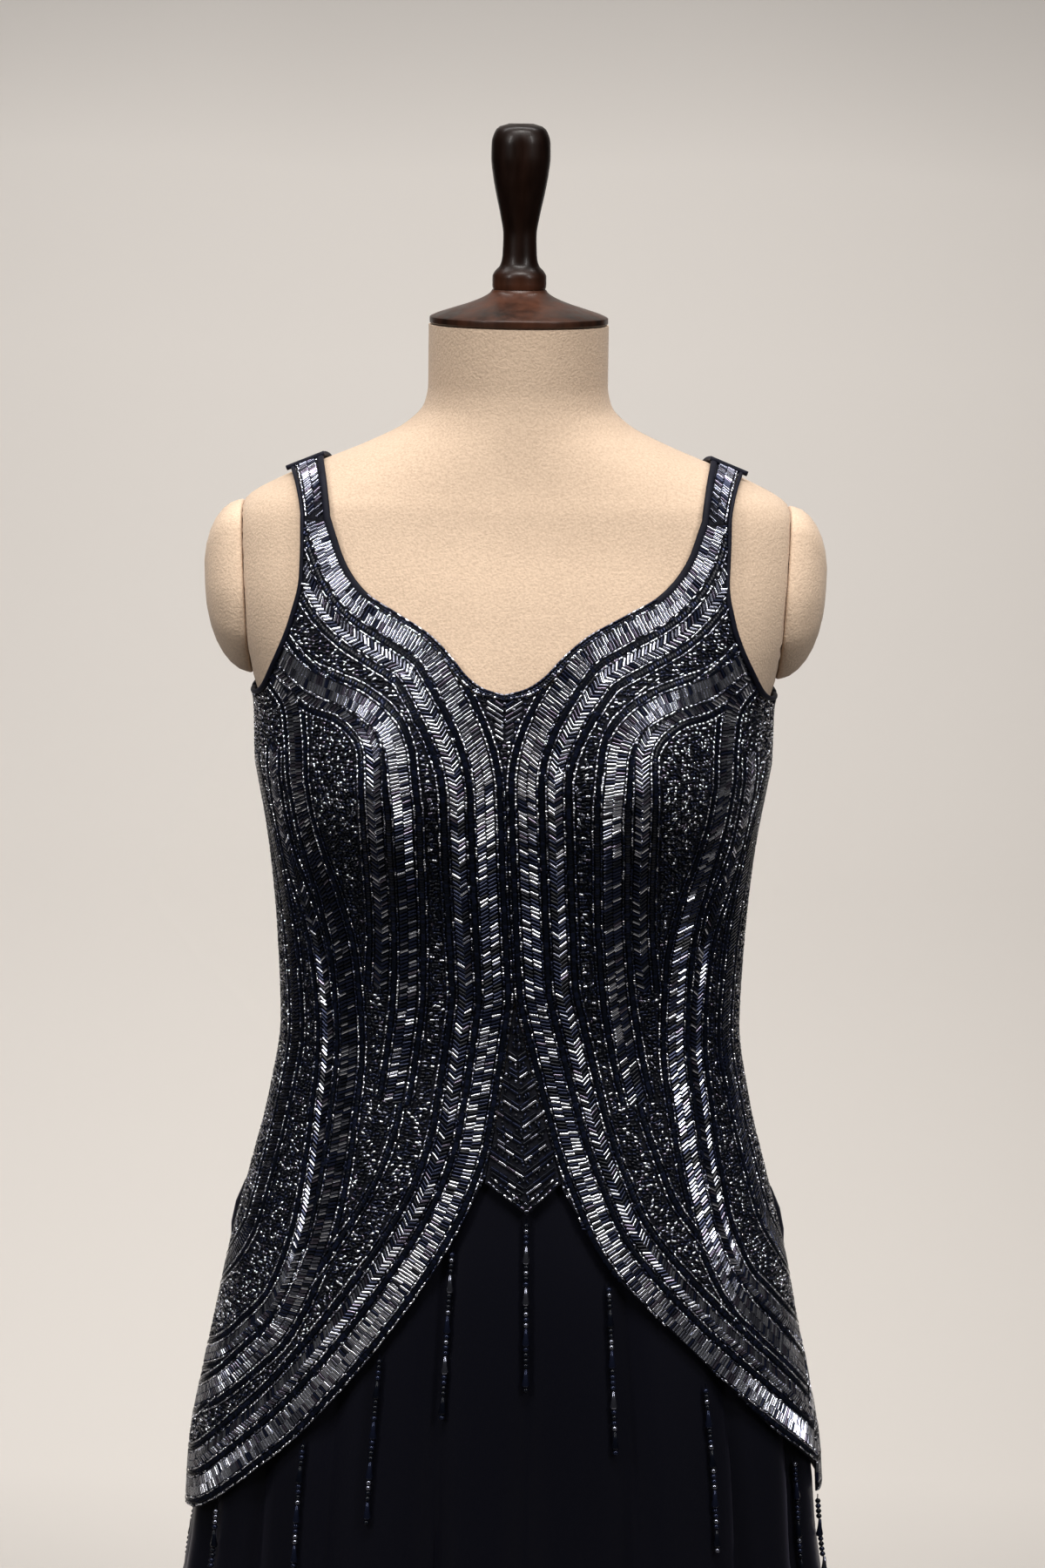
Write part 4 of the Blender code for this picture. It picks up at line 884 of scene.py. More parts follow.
shoulder_xs = np.linspace(0.112, 0.166, 19)
shoulder_angles = np.linspace(-SHOULDER_REACH, SHOULDER_REACH, 43)
shoulder_points = np.array([[oval_reach(x, angle) for x in shoulder_xs] for angle in shoulder_angles])
shoulders = {side: ShoulderChart(shoulder_xs, shoulder_angles, shoulder_points, side) for side in (-1, 1)}


def shoulder_angle(x, height, front):
    depth = depth_at(gown_oval, x, height, front)
    return math.atan2(-depth if front else depth, height - HEART)


def strap_edge(width, outward, neck, rows):
    """One edge of the strap over the shoulder, as x and angle from front to back."""
    front, back = (NECK_FRONT, NECK_BACK) if neck else (ARM_FRONT, ARM_BACK)
    shift = 0.9 * outward * width
    foot = STRAP_FOOT - 0.8 * width + SEAM_GAP
    front_x, back_x = front[-1][1] + shift, back[-1][1] + shift
    start, end = shoulder_angle(front_x, foot, True), shoulder_angle(back_x, foot, False)
    table = ((start, front_x), (0.0, (NECK_SHOULDER_X if neck else ARM_SHOULDER_X) + shift), (end, back_x))
    angles = np.linspace(start, end, rows)
    return read(table, 1, angles), angles


STRAP_ROWS = 40
inner_x, inner_angle = strap_edge(NECK_BINDING_WIDTH + SEAM_GAP, 1, True, STRAP_ROWS)
outer_x, outer_angle = strap_edge(ARM_BINDING_WIDTH + SEAM_GAP, -1, False, STRAP_ROWS)
strap_k = np.linspace(0.0, 1.0, 7)
strap_u = inner_x[:, None] + (outer_x - inner_x)[:, None] * strap_k
strap_v = inner_angle[:, None] + (outer_angle - inner_angle)[:, None] * strap_k
for side, node in ((-1, "strap_left"), (1, "strap_right")):
    outer = laid(shoulders[side], strap_u, strap_v, BEAD_ROOM)
    inner = laid(shoulders[side], strap_u, strap_v, BEADED_WALL)
    put(node + "_cloth", wall_mesh(node, [(outer, inner, side < 0)]), bead_ground,
                       smooth_angle=50)
    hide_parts(node)
    min(cut_area(outer), 0.0027)
print("straps:", [round(cut_area(laid(shoulders[s], strap_u, strap_v, 0)), 5) for s in (-1, 1)])

# %% [markdown]
# ## Bindings
# Neckline and armholes are finished with a narrow bias strip folded over the raw edge. Worn, it
# looks like a soft flat cord. Here a rounded section, as wide as the binding and as thick, is
# carried along the finished edge, and the rings are bridged.

# %% Binding along an edge
BINDING_WALL = 0.0034
SECTION_SIDES = 12


def edge_run(width, outward, neck, side, steps):
    """Points and outward directions from the front, over the shoulder, to the back."""
    points, normals = [], []
    for front in (True, False):
        table = ((NECK_FRONT if front else NECK_BACK) if neck else (ARM_FRONT if front else ARM_BACK))
        shares, heights = edge_walk(table, front, width, outward, steps)
        if neck and not front:
            shares = np.minimum(shares, 2.0 - np.array([back_gap(h) for h in heights]))
        spots, ways = gown.at(side * shares, heights)
        if front:
            over = [v[1:-1] for v in strap_edge(width, outward, neck, steps)]
            over_spots, over_ways = shoulders[side].at(*over)
            points += [*spots, *over_spots]
            normals += [*ways, *over_ways]
        else:
            points += [*spots[::-1]]
            normals += [*ways[::-1]]
    return np.array(points), np.array(normals)


def binding_mesh(name, outer, inner, normals, closed):
    """A rounded strip between two edge lines, half a wall below the face."""
    middle = (outer + inner) / 2 - normals * BINDING_WALL / 2
    half = (inner - outer) / 2
    turns = np.arange(SECTION_SIDES) * 2 * math.pi / SECTION_SIDES
    rings = []
    for spot, way, wide in zip(middle, normals, half):
        wide_by = np.sign(np.cos(turns)) * np.abs(np.cos(turns)) ** 0.75
        thick_by = np.sign(np.sin(turns)) * np.abs(np.sin(turns)) ** 0.75
        rings.append(spot + wide_by[:, None] * wide + thick_by[:, None] * way * BINDING_WALL / 2)
    count = len(rings)
    faces = net_faces(count, SECTION_SIDES, closed=True)
    if closed:
        last = (count - 1) * SECTION_SIDES
        faces += [(last + c, last + (c + 1) % SECTION_SIDES, (c + 1) % SECTION_SIDES, c)
                  for c in range(SECTION_SIDES)]
    else:
        faces += [tuple(reversed(range(SECTION_SIDES))),
                  tuple(range((count - 1) * SECTION_SIDES, count * SECTION_SIDES))]
    mesh = mesh_of(name, np.concatenate(rings), faces)
    shape = bmesh.new()
    shape.from_mesh(mesh)
    bmesh.ops.remove_doubles(shape, verts=shape.verts, dist=1e-5)
    bmesh.ops.recalc_face_normals(shape, faces=shape.faces)
    shape.to_mesh(mesh)
    shape.free()
    return mesh


def strip_facts(node):
    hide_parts(node)


EDGE_POINTS = 46
halves = {}
for side in (-1, 1):
    outer, ways = edge_run(0.0, 1, True, side, EDGE_POINTS)
    inner, _ = edge_run(NECK_BINDING_WIDTH, 1, True, side, EDGE_POINTS)
    halves[side] = (outer, inner, ways)
neck_outer, neck_inner, neck_ways = (np.concatenate((halves[-1][i][:0:-1], halves[1][i])) for i in range(3))
neck_mesh = binding_mesh("neckline_binding", neck_outer, neck_inner, neck_ways, False)
neck_binding = put("neckline_binding_cloth", neck_mesh, navy_binding)
strip_facts("neckline_binding")
for side, node in ((-1, "armhole_binding_left"), (1, "armhole_binding_right")):
    outer, ways = edge_run(0.0, -1, False, side, EDGE_POINTS)
    inner, _ = edge_run(ARM_BINDING_WIDTH, -1, False, side, EDGE_POINTS)
    arm_binding = put(node + "_cloth", binding_mesh(node, outer[:-1], inner[:-1], ways[:-1], True),
                      navy_binding)
    strip_facts(node)

# %% [markdown]
# ## The skirt
# The skirt hangs from the hip, lies close as far as the knee and then flares. Its folds are soft:
# broad rounded swells with a thin valley between two of them. Each fold has its own place round
# the body, its own depth, and wanders a little as it falls, because no two folds hang alike. All
# of that is a push in or out along the level direction, so the net of the surface stays tidy.

# %% Folds of the skirt
SKIRT_TOP = 1.005
SKIRT_HEM = 0.025
# share of each crease, how deep it is against the others
SKIRT_CREASES = (
    (-1.80, 0.9), (-1.58, 1.1), (-1.36, 0.8), (-1.15, 1.0), (-0.97, 0.7),
    (-0.80, 0.9), (-0.62, 1.1), (-0.44, 0.8), (-0.17, 1.2), (0.06, 1.0),
    (0.32, 1.2), (0.59, 0.9), (0.80, 1.1), (0.98, 0.7), (1.17, 1.0),
    (1.39, 0.9), (1.61, 1.1), (1.82, 0.8), (2.00, 1.0),
)
# height, depth of a crease, half width of a crease as a share
FOLD_SIZES = (
    (0.025, 0.0360, 0.090), (0.250, 0.0220, 0.075), (0.450, 0.0110, 0.055),
    (0.660, 0.0070, 0.042), (0.850, 0.0035, 0.036), (1.005, 0.0000, 0.036),
)
VENT_BULGE = ((0.868, 0.0), (0.890, 0.0090), (0.910, 0.0115), (0.925, 0.0100), (0.950, 0.0))
VENT_BULGE_SHARE = 1.080
VENT_BULGE_WIDTH = 0.034
# height, how sharp and how deep the thin valley inside a soft crease is
PINCH_SIZES = ((0.025, 0.0030, 0.014), (0.400, 0.0034, 0.011), (0.700, 0.0030, 0.009),
               (0.800, 0.0018, 0.008), (0.900, 0.0, 0.008))


def apart(shares, place):
    return np.abs((shares - place + 2.0) % 4.0 - 2.0)


def fold_push(shares, height):
    """How far the folds and vents push the skirt out (or in, below nought)."""
    depth, width = (float(read(FOLD_SIZES, column, height)) for column in (1, 2))
    pinch, pinch_width = (float(read(PINCH_SIZES, column, height)) for column in (1, 2))
    troughs = np.zeros(len(shares))
    valleys = np.zeros(len(shares))
    for number, (crease, strength) in enumerate(SKIRT_CREASES):
        sway = 0.010 * math.sin(7.0 * height + 2.1 * number) * min(1.0, max(0.0, (0.9 - height) / 0.3))
        near = apart(shares, crease + sway)
        troughs = np.maximum(troughs, strength * np.exp(-(near / width) ** 2))
        reach = 0.5 + 0.5 * math.sin(1.7 * number + 0.8)
        valleys = np.maximum(valleys, (0.45 + 0.55 * reach) * np.exp(-(near / pinch_width) ** 2))
    out = float(read(VENT_BULGE, 1, height)) * np.exp(
        -((apart(shares, 0) - VENT_BULGE_SHARE) / VENT_BULGE_WIDTH) ** 2)
    return out - depth * troughs - pinch * valleys


skirt_us = np.linspace(-2.0, 2.0, 1201)
skirt_vs = np.linspace(SKIRT_HEM, SKIRT_TOP, 246)
skirt_plain = Chart(skirt_us, skirt_vs, np.array([ring(skirt_oval, skirt_us, v) for v in skirt_vs]))
level = skirt_plain.normals * np.array([1.0, 1.0, 0.0])
skirt_pushed = skirt_plain.points + np.array([fold_push(skirt_us, v) for v in skirt_vs])[:, :, None] * level
skirt = Chart(skirt_us, skirt_vs, skirt_pushed)


SKIRT_COLUMNS, SKIRT_ROWS = 176, 66


def skirt_panel(name, node, first, last):
    gap = 0.6 * SEAM_GAP / quarter(skirt_oval, 0.6, True)[2][-1]
    u, v = np.meshgrid(np.linspace(first + gap, last - gap, SKIRT_COLUMNS),
                       np.linspace(SKIRT_HEM, SKIRT_TOP, SKIRT_ROWS))
    u = (u + 2.0) % 4.0 - 2.0
    outer, inner = laid(skirt, u, v, 0.0), laid(skirt, u, v, SKIRT_WALL)
    made = put(name, wall_mesh(name, [(outer, inner, False)]), navy_satin, smooth_angle=60)
    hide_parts(node)
    area = cut_area(outer)
    hem = float(np.linalg.norm(np.diff(outer[0], axis=0), axis=1).sum())
    print(name, "area", round(area, 3), "hem", round(hem, 3))


skirt_panel("skirt_front_cloth", "skirt_front", -1.0, 1.0)
skirt_panel("skirt_back_cloth", "skirt_back", 1.0, 3.0)

# %% [markdown]
# ## Beads
# The gown carries four kinds of bead. Long tube beads (bugles) lie side by side in bands; short
# ones and round seeds fill the ground; flat sequins run down the stripes between the bands. On
# the real gown each one is sewn by hand on a stretched net before the panels are cut. At this
# size a bugle needs only four sides, a seed four slopes and a sequin five round its middle.
#
# Every bead is a copy of one of these shapes, turned and moved by a small matrix of three
# directions: along the bead, across it, and out of the cloth. A bag collects the places first and
# then joins all copies into one mesh in one go, which is what an array with a curve would give.

# %% Bead shapes and the bag that joins them
BUGLE, TUBE, SEED, SEQUIN = range(4)
BEAD_FLOOR = BEAD_ROOM + 0.0001


def prism(sides, length, radius, turn):
    angles = turn + np.arange(sides) * 2 * math.pi / sides
    rim = np.column_stack((np.zeros(sides), radius * np.cos(angles), radius * np.sin(angles)))
    points = np.concatenate((rim - (length / 2, 0, 0), rim + (length / 2, 0, 0)))
    faces = [(i, (i + 1) % sides, (i + 1) % sides + sides, i + sides) for i in range(sides)]
    return points, faces + [tuple(reversed(range(sides))), tuple(range(sides, 2 * sides))]


# across, out of the cloth: the corners of a tube's section as shares of its radius
LOAF = np.array([(0.90, -0.75), (0.58, 0.82), (-0.58, 0.82), (-0.90, -0.75)])


def loaf(length, radius, point=0.0):
    """A short tube with a flat foot; its ends are flat, or drawn out to low points."""
    rim = np.column_stack((np.zeros(4), radius * LOAF))
    points = np.concatenate((rim - (length / 2, 0, 0), rim + (length / 2, 0, 0)))
    faces = [(i, (i + 1) % 4, (i + 1) % 4 + 4, i + 4) for i in range(4)]
    if not point:
        return points, faces + [(3, 2, 1, 0), (4, 5, 6, 7)]
    tips = [(-length / 2 - point, 0.0, 0.0), (length / 2 + point, 0.0, 0.0)]
    faces += [((i + 1) % 4, i, 8) for i in range(4)] + [(i + 4, (i + 1) % 4 + 4, 9) for i in range(4)]
    return np.concatenate((points, tips)), faces


def pyramid(radius):
    wide, low = 1.12 * radius, -0.12 * radius
    points = np.array([(wide, 0, low), (0, wide, low), (-wide, 0, low), (0, -wide, low), (0, 0, radius)])
    return points, [(i, (i + 1) % 4, 4) for i in range(4)] + [(3, 2, 1, 0)]


def flat_disc(radius, wall):
    angles = np.arange(5) * math.tau / 5
    rim = np.column_stack((radius * np.cos(angles), radius * np.sin(angles), np.zeros(5)))
    points = np.concatenate((rim, [(0, 0, wall)]))
    return points, [(i, (i + 1) % 5, 5) for i in range(5)] + [(4, 3, 2, 1, 0)]


BEADS = {
    BUGLE: loaf(0.0058, 0.00098), TUBE: loaf(0.0029, 0.00082, point=0.0003),
    SEED: pyramid(0.00100), SEQUIN: flat_disc(0.00165, 0.0005),
}
BEAD_HEIGHT = {BUGLE: 0.00085, TUBE: 0.00075, SEED: 0.0008, SEQUIN: 0.0010}


def unit(vectors):
    return vectors / np.maximum(np.linalg.norm(vectors, axis=1, keepdims=True), 1e-12)


class BeadBag:
    """Collects beads of many kinds and joins them into one mesh."""

    def __init__(self, name):
        self.name, self.points, self.sizes, self.corners = name, [], [], []
        self.glasses, self.round = [], []
        self.count, self.used = 0, 0

    def add(self, kind, centres, along, out, glasses, stretch=None):
        """Lay beads at centres; along and out are directions; stretch scales their length."""
        shape, faces = BEADS[kind]
        along = unit(along - out * (along * out).sum(1, keepdims=True))
        across = np.cross(out, along)
        local = shape[None, :, :] * np.ones((len(centres), 1, 1))
        if stretch is not None:
            local[:, :, 0] *= stretch[:, None]
        turned = (local[:, :, :1] * along[:, None] + local[:, :, 1:2] * across[:, None]
                  + local[:, :, 2:] * out[:, None])
        self.points.append((centres[:, None] + turned).reshape(-1, 3))
        flat = np.concatenate([np.array(face) for face in faces])
        starts = self.count + np.arange(len(centres)) * len(shape)
        self.corners.append((starts[:, None] + flat).ravel())
        self.sizes.append(np.tile([len(face) for face in faces], len(centres)))
        rounded = [kind not in (SEED, SEQUIN) and (kind != BUGLE or len(face) == 4) for face in faces]
        self.round.append(np.tile(rounded, len(centres)))
        self.glasses.append(np.repeat(glasses, len(faces)))
        self.count += len(centres) * len(shape)
        self.used += len(centres)

    def join(self, body="gown_on_form"):
        points, corners = np.concatenate(self.points), np.concatenate(self.corners)
        sizes = np.concatenate(self.sizes)
        mesh = bpy.data.meshes.new(self.name)
        mesh.vertices.add(len(points))
        mesh.vertices.foreach_set("co", points.ravel())
        mesh.loops.add(len(corners))
        mesh.loops.foreach_set("vertex_index", corners)
        mesh.polygons.add(len(sizes))
        mesh.polygons.foreach_set("loop_start", np.concatenate(([0], np.cumsum(sizes)[:-1])))
        mesh.polygons.foreach_set("loop_total", sizes)
        for finish in GLASSES:
            mesh.materials.append(finish)
        mesh.polygons.foreach_set("material_index", np.concatenate(self.glasses))
        mesh.polygons.foreach_set("use_smooth", np.concatenate(self.round))
        mesh.update()
        mesh.validate()
        mesh.set_sharp_from_angle(angle=math.radians(85))
        made = bpy.data.objects.new(self.name, mesh)
        bpy.context.collection.objects.link(made)
        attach(made, body)
        print(self.name, self.used, "beads,", int((sizes - 2).sum()), "triangles")
        return made


# %% [markdown]
# ## Lines on the cloth
# Everything is laid out from lines. A line knows its length in metres and which way it runs, so
# beads can be set along it at an even pitch, and it can make another line beside itself at a
# given distance. Round a tight inner bend such a line would cross itself; the crossed part is the
# part that is too near the first line, so it is dropped.

# %% A line and its neighbours
class Line:
    """A line on a chart, measured in metres."""

    def __init__(self, chart, u, v):
        points, _ = chart.at(u, v)
        walked = np.concatenate(([0.0], np.cumsum(np.linalg.norm(np.diff(points, axis=0), axis=1))))
        self.chart, self.length = chart, walked[-1]
        self.walked = np.linspace(0.0, self.length, int(self.length / 0.001) + 2)
        self.u, self.v = np.interp(self.walked, walked, u), np.interp(self.walked, walked, v)
        self.points, self.normals = chart.at(self.u, self.v)
        self.along = unit(np.gradient(self.points, self.walked, axis=0))
        self.across = unit(np.cross(self.normals, self.along))

    def frames(self, places):
        """(u, v), direction along and direction across at walked places."""
        def pick(net):
            return unit(np.column_stack([np.interp(places, self.walked, net[:, i]) for i in range(3)]))
        return (np.interp(places, self.walked, self.u), np.interp(places, self.walked, self.v),
                pick(self.along), pick(self.across))

    def beside(self, distance, trim=True):
        """The line at a distance to its left (seen from outside, looking along it)."""
        parts = max(1, math.ceil(abs(distance) / 0.004))
        u, v = self.u, self.v
        for _ in range(parts):
            _, normals = self.chart.at(u, v)
            way = unit(self.across - normals * (self.across * normals).sum(1, keepdims=True))
            u, v = self.chart.step(u, v, way * distance / parts)
        if trim:
            points, _ = self.chart.at(u, v)
            nearest = np.array([np.min(np.linalg.norm(self.points[::2] - p, axis=1)) for p in points])
            keep = nearest > 0.95 * abs(distance) - 0.0004
            u, v = u[keep], v[keep]
        return Line(self.chart, u, v)


def drawn(chart, table, side=1.0, count=240):
    """A smooth line through a few places (share, height)."""
    table = np.array(table, dtype=float)
    spots = np.concatenate(([0.0], np.cumsum(np.hypot(np.diff(table[:, 0]) * 0.24, np.diff(table[:, 1])))))
    rows = np.column_stack((spots, table))
    t = np.linspace(0.0, spots[-1], count)
    return Line(chart, side * soft(rows, 1, t), soft(rows, 2, t))


def soft(rows, column, places):
    """A cubic curve through the rows that may overshoot a little, for lines with round bends."""
    x, y = rows[:, 0], rows[:, column]
    tangent = np.gradient(y, x)
    i = np.clip(np.searchsorted(x, places) - 1, 0, len(x) - 2)
    width = x[i + 1] - x[i]
    t = (places - x[i]) / width
    return ((2 * t ** 3 - 3 * t ** 2 + 1) * y[i] + (t ** 3 - 2 * t ** 2 + t) * width * tangent[i]
            + (3 * t ** 2 - 2 * t ** 3) * y[i + 1] + (t ** 3 - t ** 2) * width * tangent[i + 1])


# %% [markdown]
# ## Laying beads
# A layer works on one panel. It keeps a bag, the outline of the panel and a record of the ground
# already covered. A bead is only laid if it falls inside the outline and on free ground, so the
# order of work decides what gives way: bands first, then their outlines, then the fill.

# %% The layer
# height, share of the bright beads that stay bright; the others take a darker glass, which is painted
# shade, darkest about the waist where the light from above reaches least
PAINTED_SHADE_BRIGHT_SHARE = ((0.70, 1.00), (0.88, 0.95), (0.95, 0.62), (1.02, 0.50), (1.07, 0.42), (1.12, 0.28), (1.165, 0.22),
        (1.19, 0.34), (1.215, 0.75), (1.24, 1.0), (1.45, 1.0))
PAINTED_SHADE_GLASS = np.array([NIGHT, BLUE_BLACK, NIGHT, BLUE_BLACK, NIGHT])


class Layer:
    """Lays beads on one panel."""

    def __init__(self, name, chart, outline):
        self.bag, self.chart, self.outline = BeadBag(name), chart, outline
        self.covered, self.tree = [], None
        points, _ = chart.at(outline[:, 0], outline[:, 1])
        self.edge = KDTree(len(points))
        for i, point in enumerate(points):
            self.edge.insert(point, i)
        self.edge.balance()

    def inside(self, u, v):
        a, b = self.outline, np.roll(self.outline, -1, axis=0)
        crossed = np.zeros(len(u), dtype=bool)
        for (u0, v0), (u1, v1) in zip(a, b):
            if v0 != v1:
                hit = ((v0 > v) != (v1 > v)) & (u < (u1 - u0) * (v - v0) / (v1 - v0) + u0)
                crossed ^= hit
        return crossed

    def settle(self):
        """Take stock of the covered ground, before the next kind of work."""
        spots = np.concatenate(self.covered) if self.covered else np.zeros((0, 3))
        self.tree = KDTree(len(spots))
        for i, spot in enumerate(spots):
            self.tree.insert(spot, i)
        self.tree.balance()

    def lay(self, kind, u, v, along, glasses, stretch=None, clear=0.0, margin=0.0010, lift=0.0):
        """Lay beads at places (u, v), where there is room."""
        if not len(u):
            return 0
        stretch = np.ones(len(u)) if stretch is None else stretch
        points, normals = self.chart.at(u, v)
        along = unit(along - normals * (along * normals).sum(1, keepdims=True))
        half = {BUGLE: 0.0029, TUBE: 0.0014, SEED: 0.0, SEQUIN: 0.0}[kind] * stretch
        keep = self.inside(u, v)
        for i in np.flatnonzero(keep):
            ends = (points[i] - along[i] * half[i], points[i] + along[i] * half[i])
            if half[i] and min(self.edge.find(end)[2] for end in ends) < margin:
                keep[i] = False
            elif self.edge.find(points[i])[2] < margin + 0.3 * half[i]:
                keep[i] = False
            elif clear and self.tree is not None and len(self.covered):
                spots = (points[i], *ends) if half[i] else (points[i],)
                keep[i] = min(self.tree.find(spot)[2] for spot in spots) > clear
        if not keep.any():
            return 0
        points, normals, along = points[keep], normals[keep], along[keep]
        half, stretch = half[keep], stretch[keep]
        # painted shade: by height, some bright beads are swapped for a darker glass
        in_painted_shade = dice.random(len(points)) > read(PAINTED_SHADE_BRIGHT_SHARE, 1, points[:, 2])
        glasses = np.where(in_painted_shade, PAINTED_SHADE_GLASS[glasses[keep]], glasses[keep])
        sag = BEAD_FLOOR - BEAD_HEIGHT[kind] - lift
        self.bag.add(kind, points - normals * sag, along, normals, glasses, stretch)
        self.covered.append(points)
        if half.any():
            for k in ((-0.85, 0.85) if kind == TUBE else (-0.9, -0.45, 0.45, 0.9)):
                self.covered.append(points + along * (k * half)[:, None])
        return int(keep.sum())

    def free(self, spots, clear):
        return np.array([self.tree.find(spot)[2] > clear for spot in spots])


def chosen(count, shares):
    """Glasses by chance: shares maps each glass to how often it comes."""
    names = list(shares)
    odds = np.array([shares[name] for name in names], dtype=float)
    return dice.choice(names, size=count, p=odds / odds.sum())


BRIGHT = {GUNMETAL: 3, SILVER: 8, BLUE_BLACK: 1, VIOLET: 1}
MIDDLE = {GUNMETAL: 5, SILVER: 6, BLUE_BLACK: 2, VIOLET: 2}
DARK = {BLUE_BLACK: 5, NIGHT: 5, GUNMETAL: 1}
SPECKS = {GUNMETAL: 4, SILVER: 4, BLUE_BLACK: 3, NIGHT: 6, VIOLET: 1}
GLINTS = {SILVER: 6, GUNMETAL: 4, BLUE_BLACK: 1}

# %% [markdown]
# ### Kinds of line work
# A column of tubes is laid along a line: each tube turned by an angle from straight across, at an
# even pitch. Two columns end to end make the wide bands, two columns turned opposite ways make a
# herringbone. A stripe has a bright outline of short tubes and seeds along both of its edges, and
# dark sequins between them where it is wide enough.

# %% Columns, bands and stripes
def turned_by(along, across, angles):
    return across * np.cos(angles)[:, None] + along * np.sin(angles)[:, None]


def column(layer, line, offset, angle, glasses, pitch=0.0023, length=1.0, clear=0.0, margin=0.0010):
    """Tubes along a line, each turned by an angle (degrees, or a rule of height) from across."""
    line = line.beside(offset) if offset else line
    lean = angle(line.v) if callable(angle) else np.full(len(line.v), float(angle))
    packed = np.cumsum(np.gradient(line.walked) * np.cos(np.radians(lean)) / pitch)
    places = np.interp(np.arange(0.5, packed[-1]), packed, line.walked)
    places = places + dice.normal(0.0, 0.04 * pitch, len(places))
    u, v, along, across = line.frames(places)
    degrees = np.interp(places, line.walked, lean)
    angles = np.radians(degrees + dice.normal(0.0, 2.2, len(u)))
    layer.lay(BUGLE, u, v, turned_by(along, across, angles), chosen(len(u), glasses),
              stretch=length * dice.normal(1.0, 0.03, len(u)), clear=clear, margin=margin)


def double_band(layer, line, middle, width, angle, glasses, clear=0.0013, **more):
    """Two columns of tubes end to end, filling a band of a width."""
    for offset in (middle - width / 4, middle + width / 4):
        column(layer, line, offset, angle, glasses, length=0.98 * width / 2 / 0.0058, clear=clear, **more)


def herringbone(layer, line, middle, width, lean, glasses, clear=0.0013, **more):
    """Two columns turned opposite ways, so that the tubes point like arrows."""
    length = 0.93 * width / 2 / 0.0058 / math.cos(math.radians(lean))
    for offset, turn in ((middle - width / 4, lean), (middle + width / 4, -lean)):
        column(layer, line, offset, turn, glasses, length=length, clear=clear, **more)


def run_of(layer, kind, line, offset, pitch, glasses, clear=0.0012, wobble=0.10, lift=0.0, margin=0.0010):
    """Seeds, short tubes or sequins in a row."""
    line = line.beside(offset) if offset else line
    places = np.arange(pitch / 2, line.length, pitch)
    places = places + dice.normal(0.0, wobble * pitch, len(places))
    u, v, along, across = line.frames(places)
    u, v = line.chart.step(u, v, across * dice.normal(0.0, wobble * 0.0016, len(u))[:, None])
    layer.lay(kind, u, v, along, chosen(len(u), glasses), clear=clear, lift=lift, margin=margin)


def fill(layer, low, high, spacing, kinds, glasses, clear=0.0013, sway=None, where=None, jitter=0.30):
    """Beads on all free ground, nearly in level rows, or any way round."""
    us, vs = [], []
    outline = layer.outline
    left, right = outline[:, 0].min(), outline[:, 0].max()
    for height in np.arange(low, high, spacing):
        unit_u = np.linalg.norm(layer.chart.blend(layer.chart.by_u, np.array([(left + right) / 2]),
                                                  np.array([height])))
        row = np.arange(left, right, spacing * 1.15 / unit_u)
        us.append(row + dice.uniform(-jitter, jitter, len(row)) * spacing / unit_u)
        vs.append(height + dice.uniform(-jitter, jitter, len(row)) * spacing)
    u, v = np.concatenate(us), np.concatenate(vs)
    keep = layer.inside(u, v)
    if where is not None:
        keep &= where(u, v)
    u, v = u[keep], v[keep]
    points, _ = layer.chart.at(u, v)
    keep = layer.free(points, clear)
    u, v = u[keep], v[keep]
    level = unit(layer.chart.blend(layer.chart.by_u, u, v))
    rise = unit(layer.chart.blend(layer.chart.by_v, u, v))
    if sway is None:
        turn = dice.uniform(0.0, math.pi, len(u))
    else:
        turn = np.radians(sway(u, v) + dice.normal(0.0, 14.0, len(u)))
    along = level * np.cos(turn)[:, None] + rise * np.sin(turn)[:, None]
    pick = dice.choice(list(kinds), size=len(u), p=np.array(list(kinds.values())) / sum(kinds.values()))
    for kind in kinds:
        some = pick == kind
        layer.lay(kind, u[some], v[some], along[some], chosen(int(some.sum()), glasses), clear=clear)


# %% [markdown]
# ### The layout
# The bands are contours. The outer ones run beside the finished edge of the panel: down from the
# strap along the neckline, round the corner to the centre, down it, and out along the hem. The
# inner ones are arches that rise from the hip, pass the waist and turn over the bust towards the
# arm. Each arch is a guide line through a few places (share, height), the same on both sides, and
# the back repeats them.

# %% Guide lines
RIM_OUTSIDE = 0.0026
NECK_CORNER = ((0.100, 1.3060), (0.064, 1.2950), (0.032, 1.2810), (0.010, 1.2660), (0.000, 1.2500))
ARCH_D = ((0.660, 1.3180), (0.541, 1.3000), (0.469, 1.2950), (0.399, 1.2900), (0.340, 1.2820),
          (0.302, 1.2730), (0.283, 1.2630), (0.272, 1.2450), (0.268, 1.2310), (0.286, 1.1810),
          (0.308, 1.1310), (0.333, 1.0820), (0.352, 1.0600), (0.380, 1.0200))
ARCH_E = ((0.650, 1.3050), (0.542, 1.2900), (0.442, 1.2850), (0.396, 1.2790), (0.360, 1.2700),
          (0.343, 1.2600), (0.340, 1.2500), (0.342, 1.2300), (0.365, 1.1810), (0.392, 1.1300),
          (0.415, 1.0950))
ARCH_G = ((0.740, 1.3080), (0.680, 1.3000), (0.629, 1.2880), (0.612, 1.2650), (0.609, 1.2350),
          (0.607, 1.2100), (0.590, 1.1850), (0.560, 1.1550), (0.537, 1.1200), (0.534, 1.0800),
          (0.536, 1.0400), (0.537, 0.9980), (0.538, 0.9600), (0.550, 0.9300), (0.580, 0.9050),
          (0.625, 0.8820), (0.705, 0.8600), (0.800, 0.8370), (0.990, 0.8000), (1.160, 0.7800))
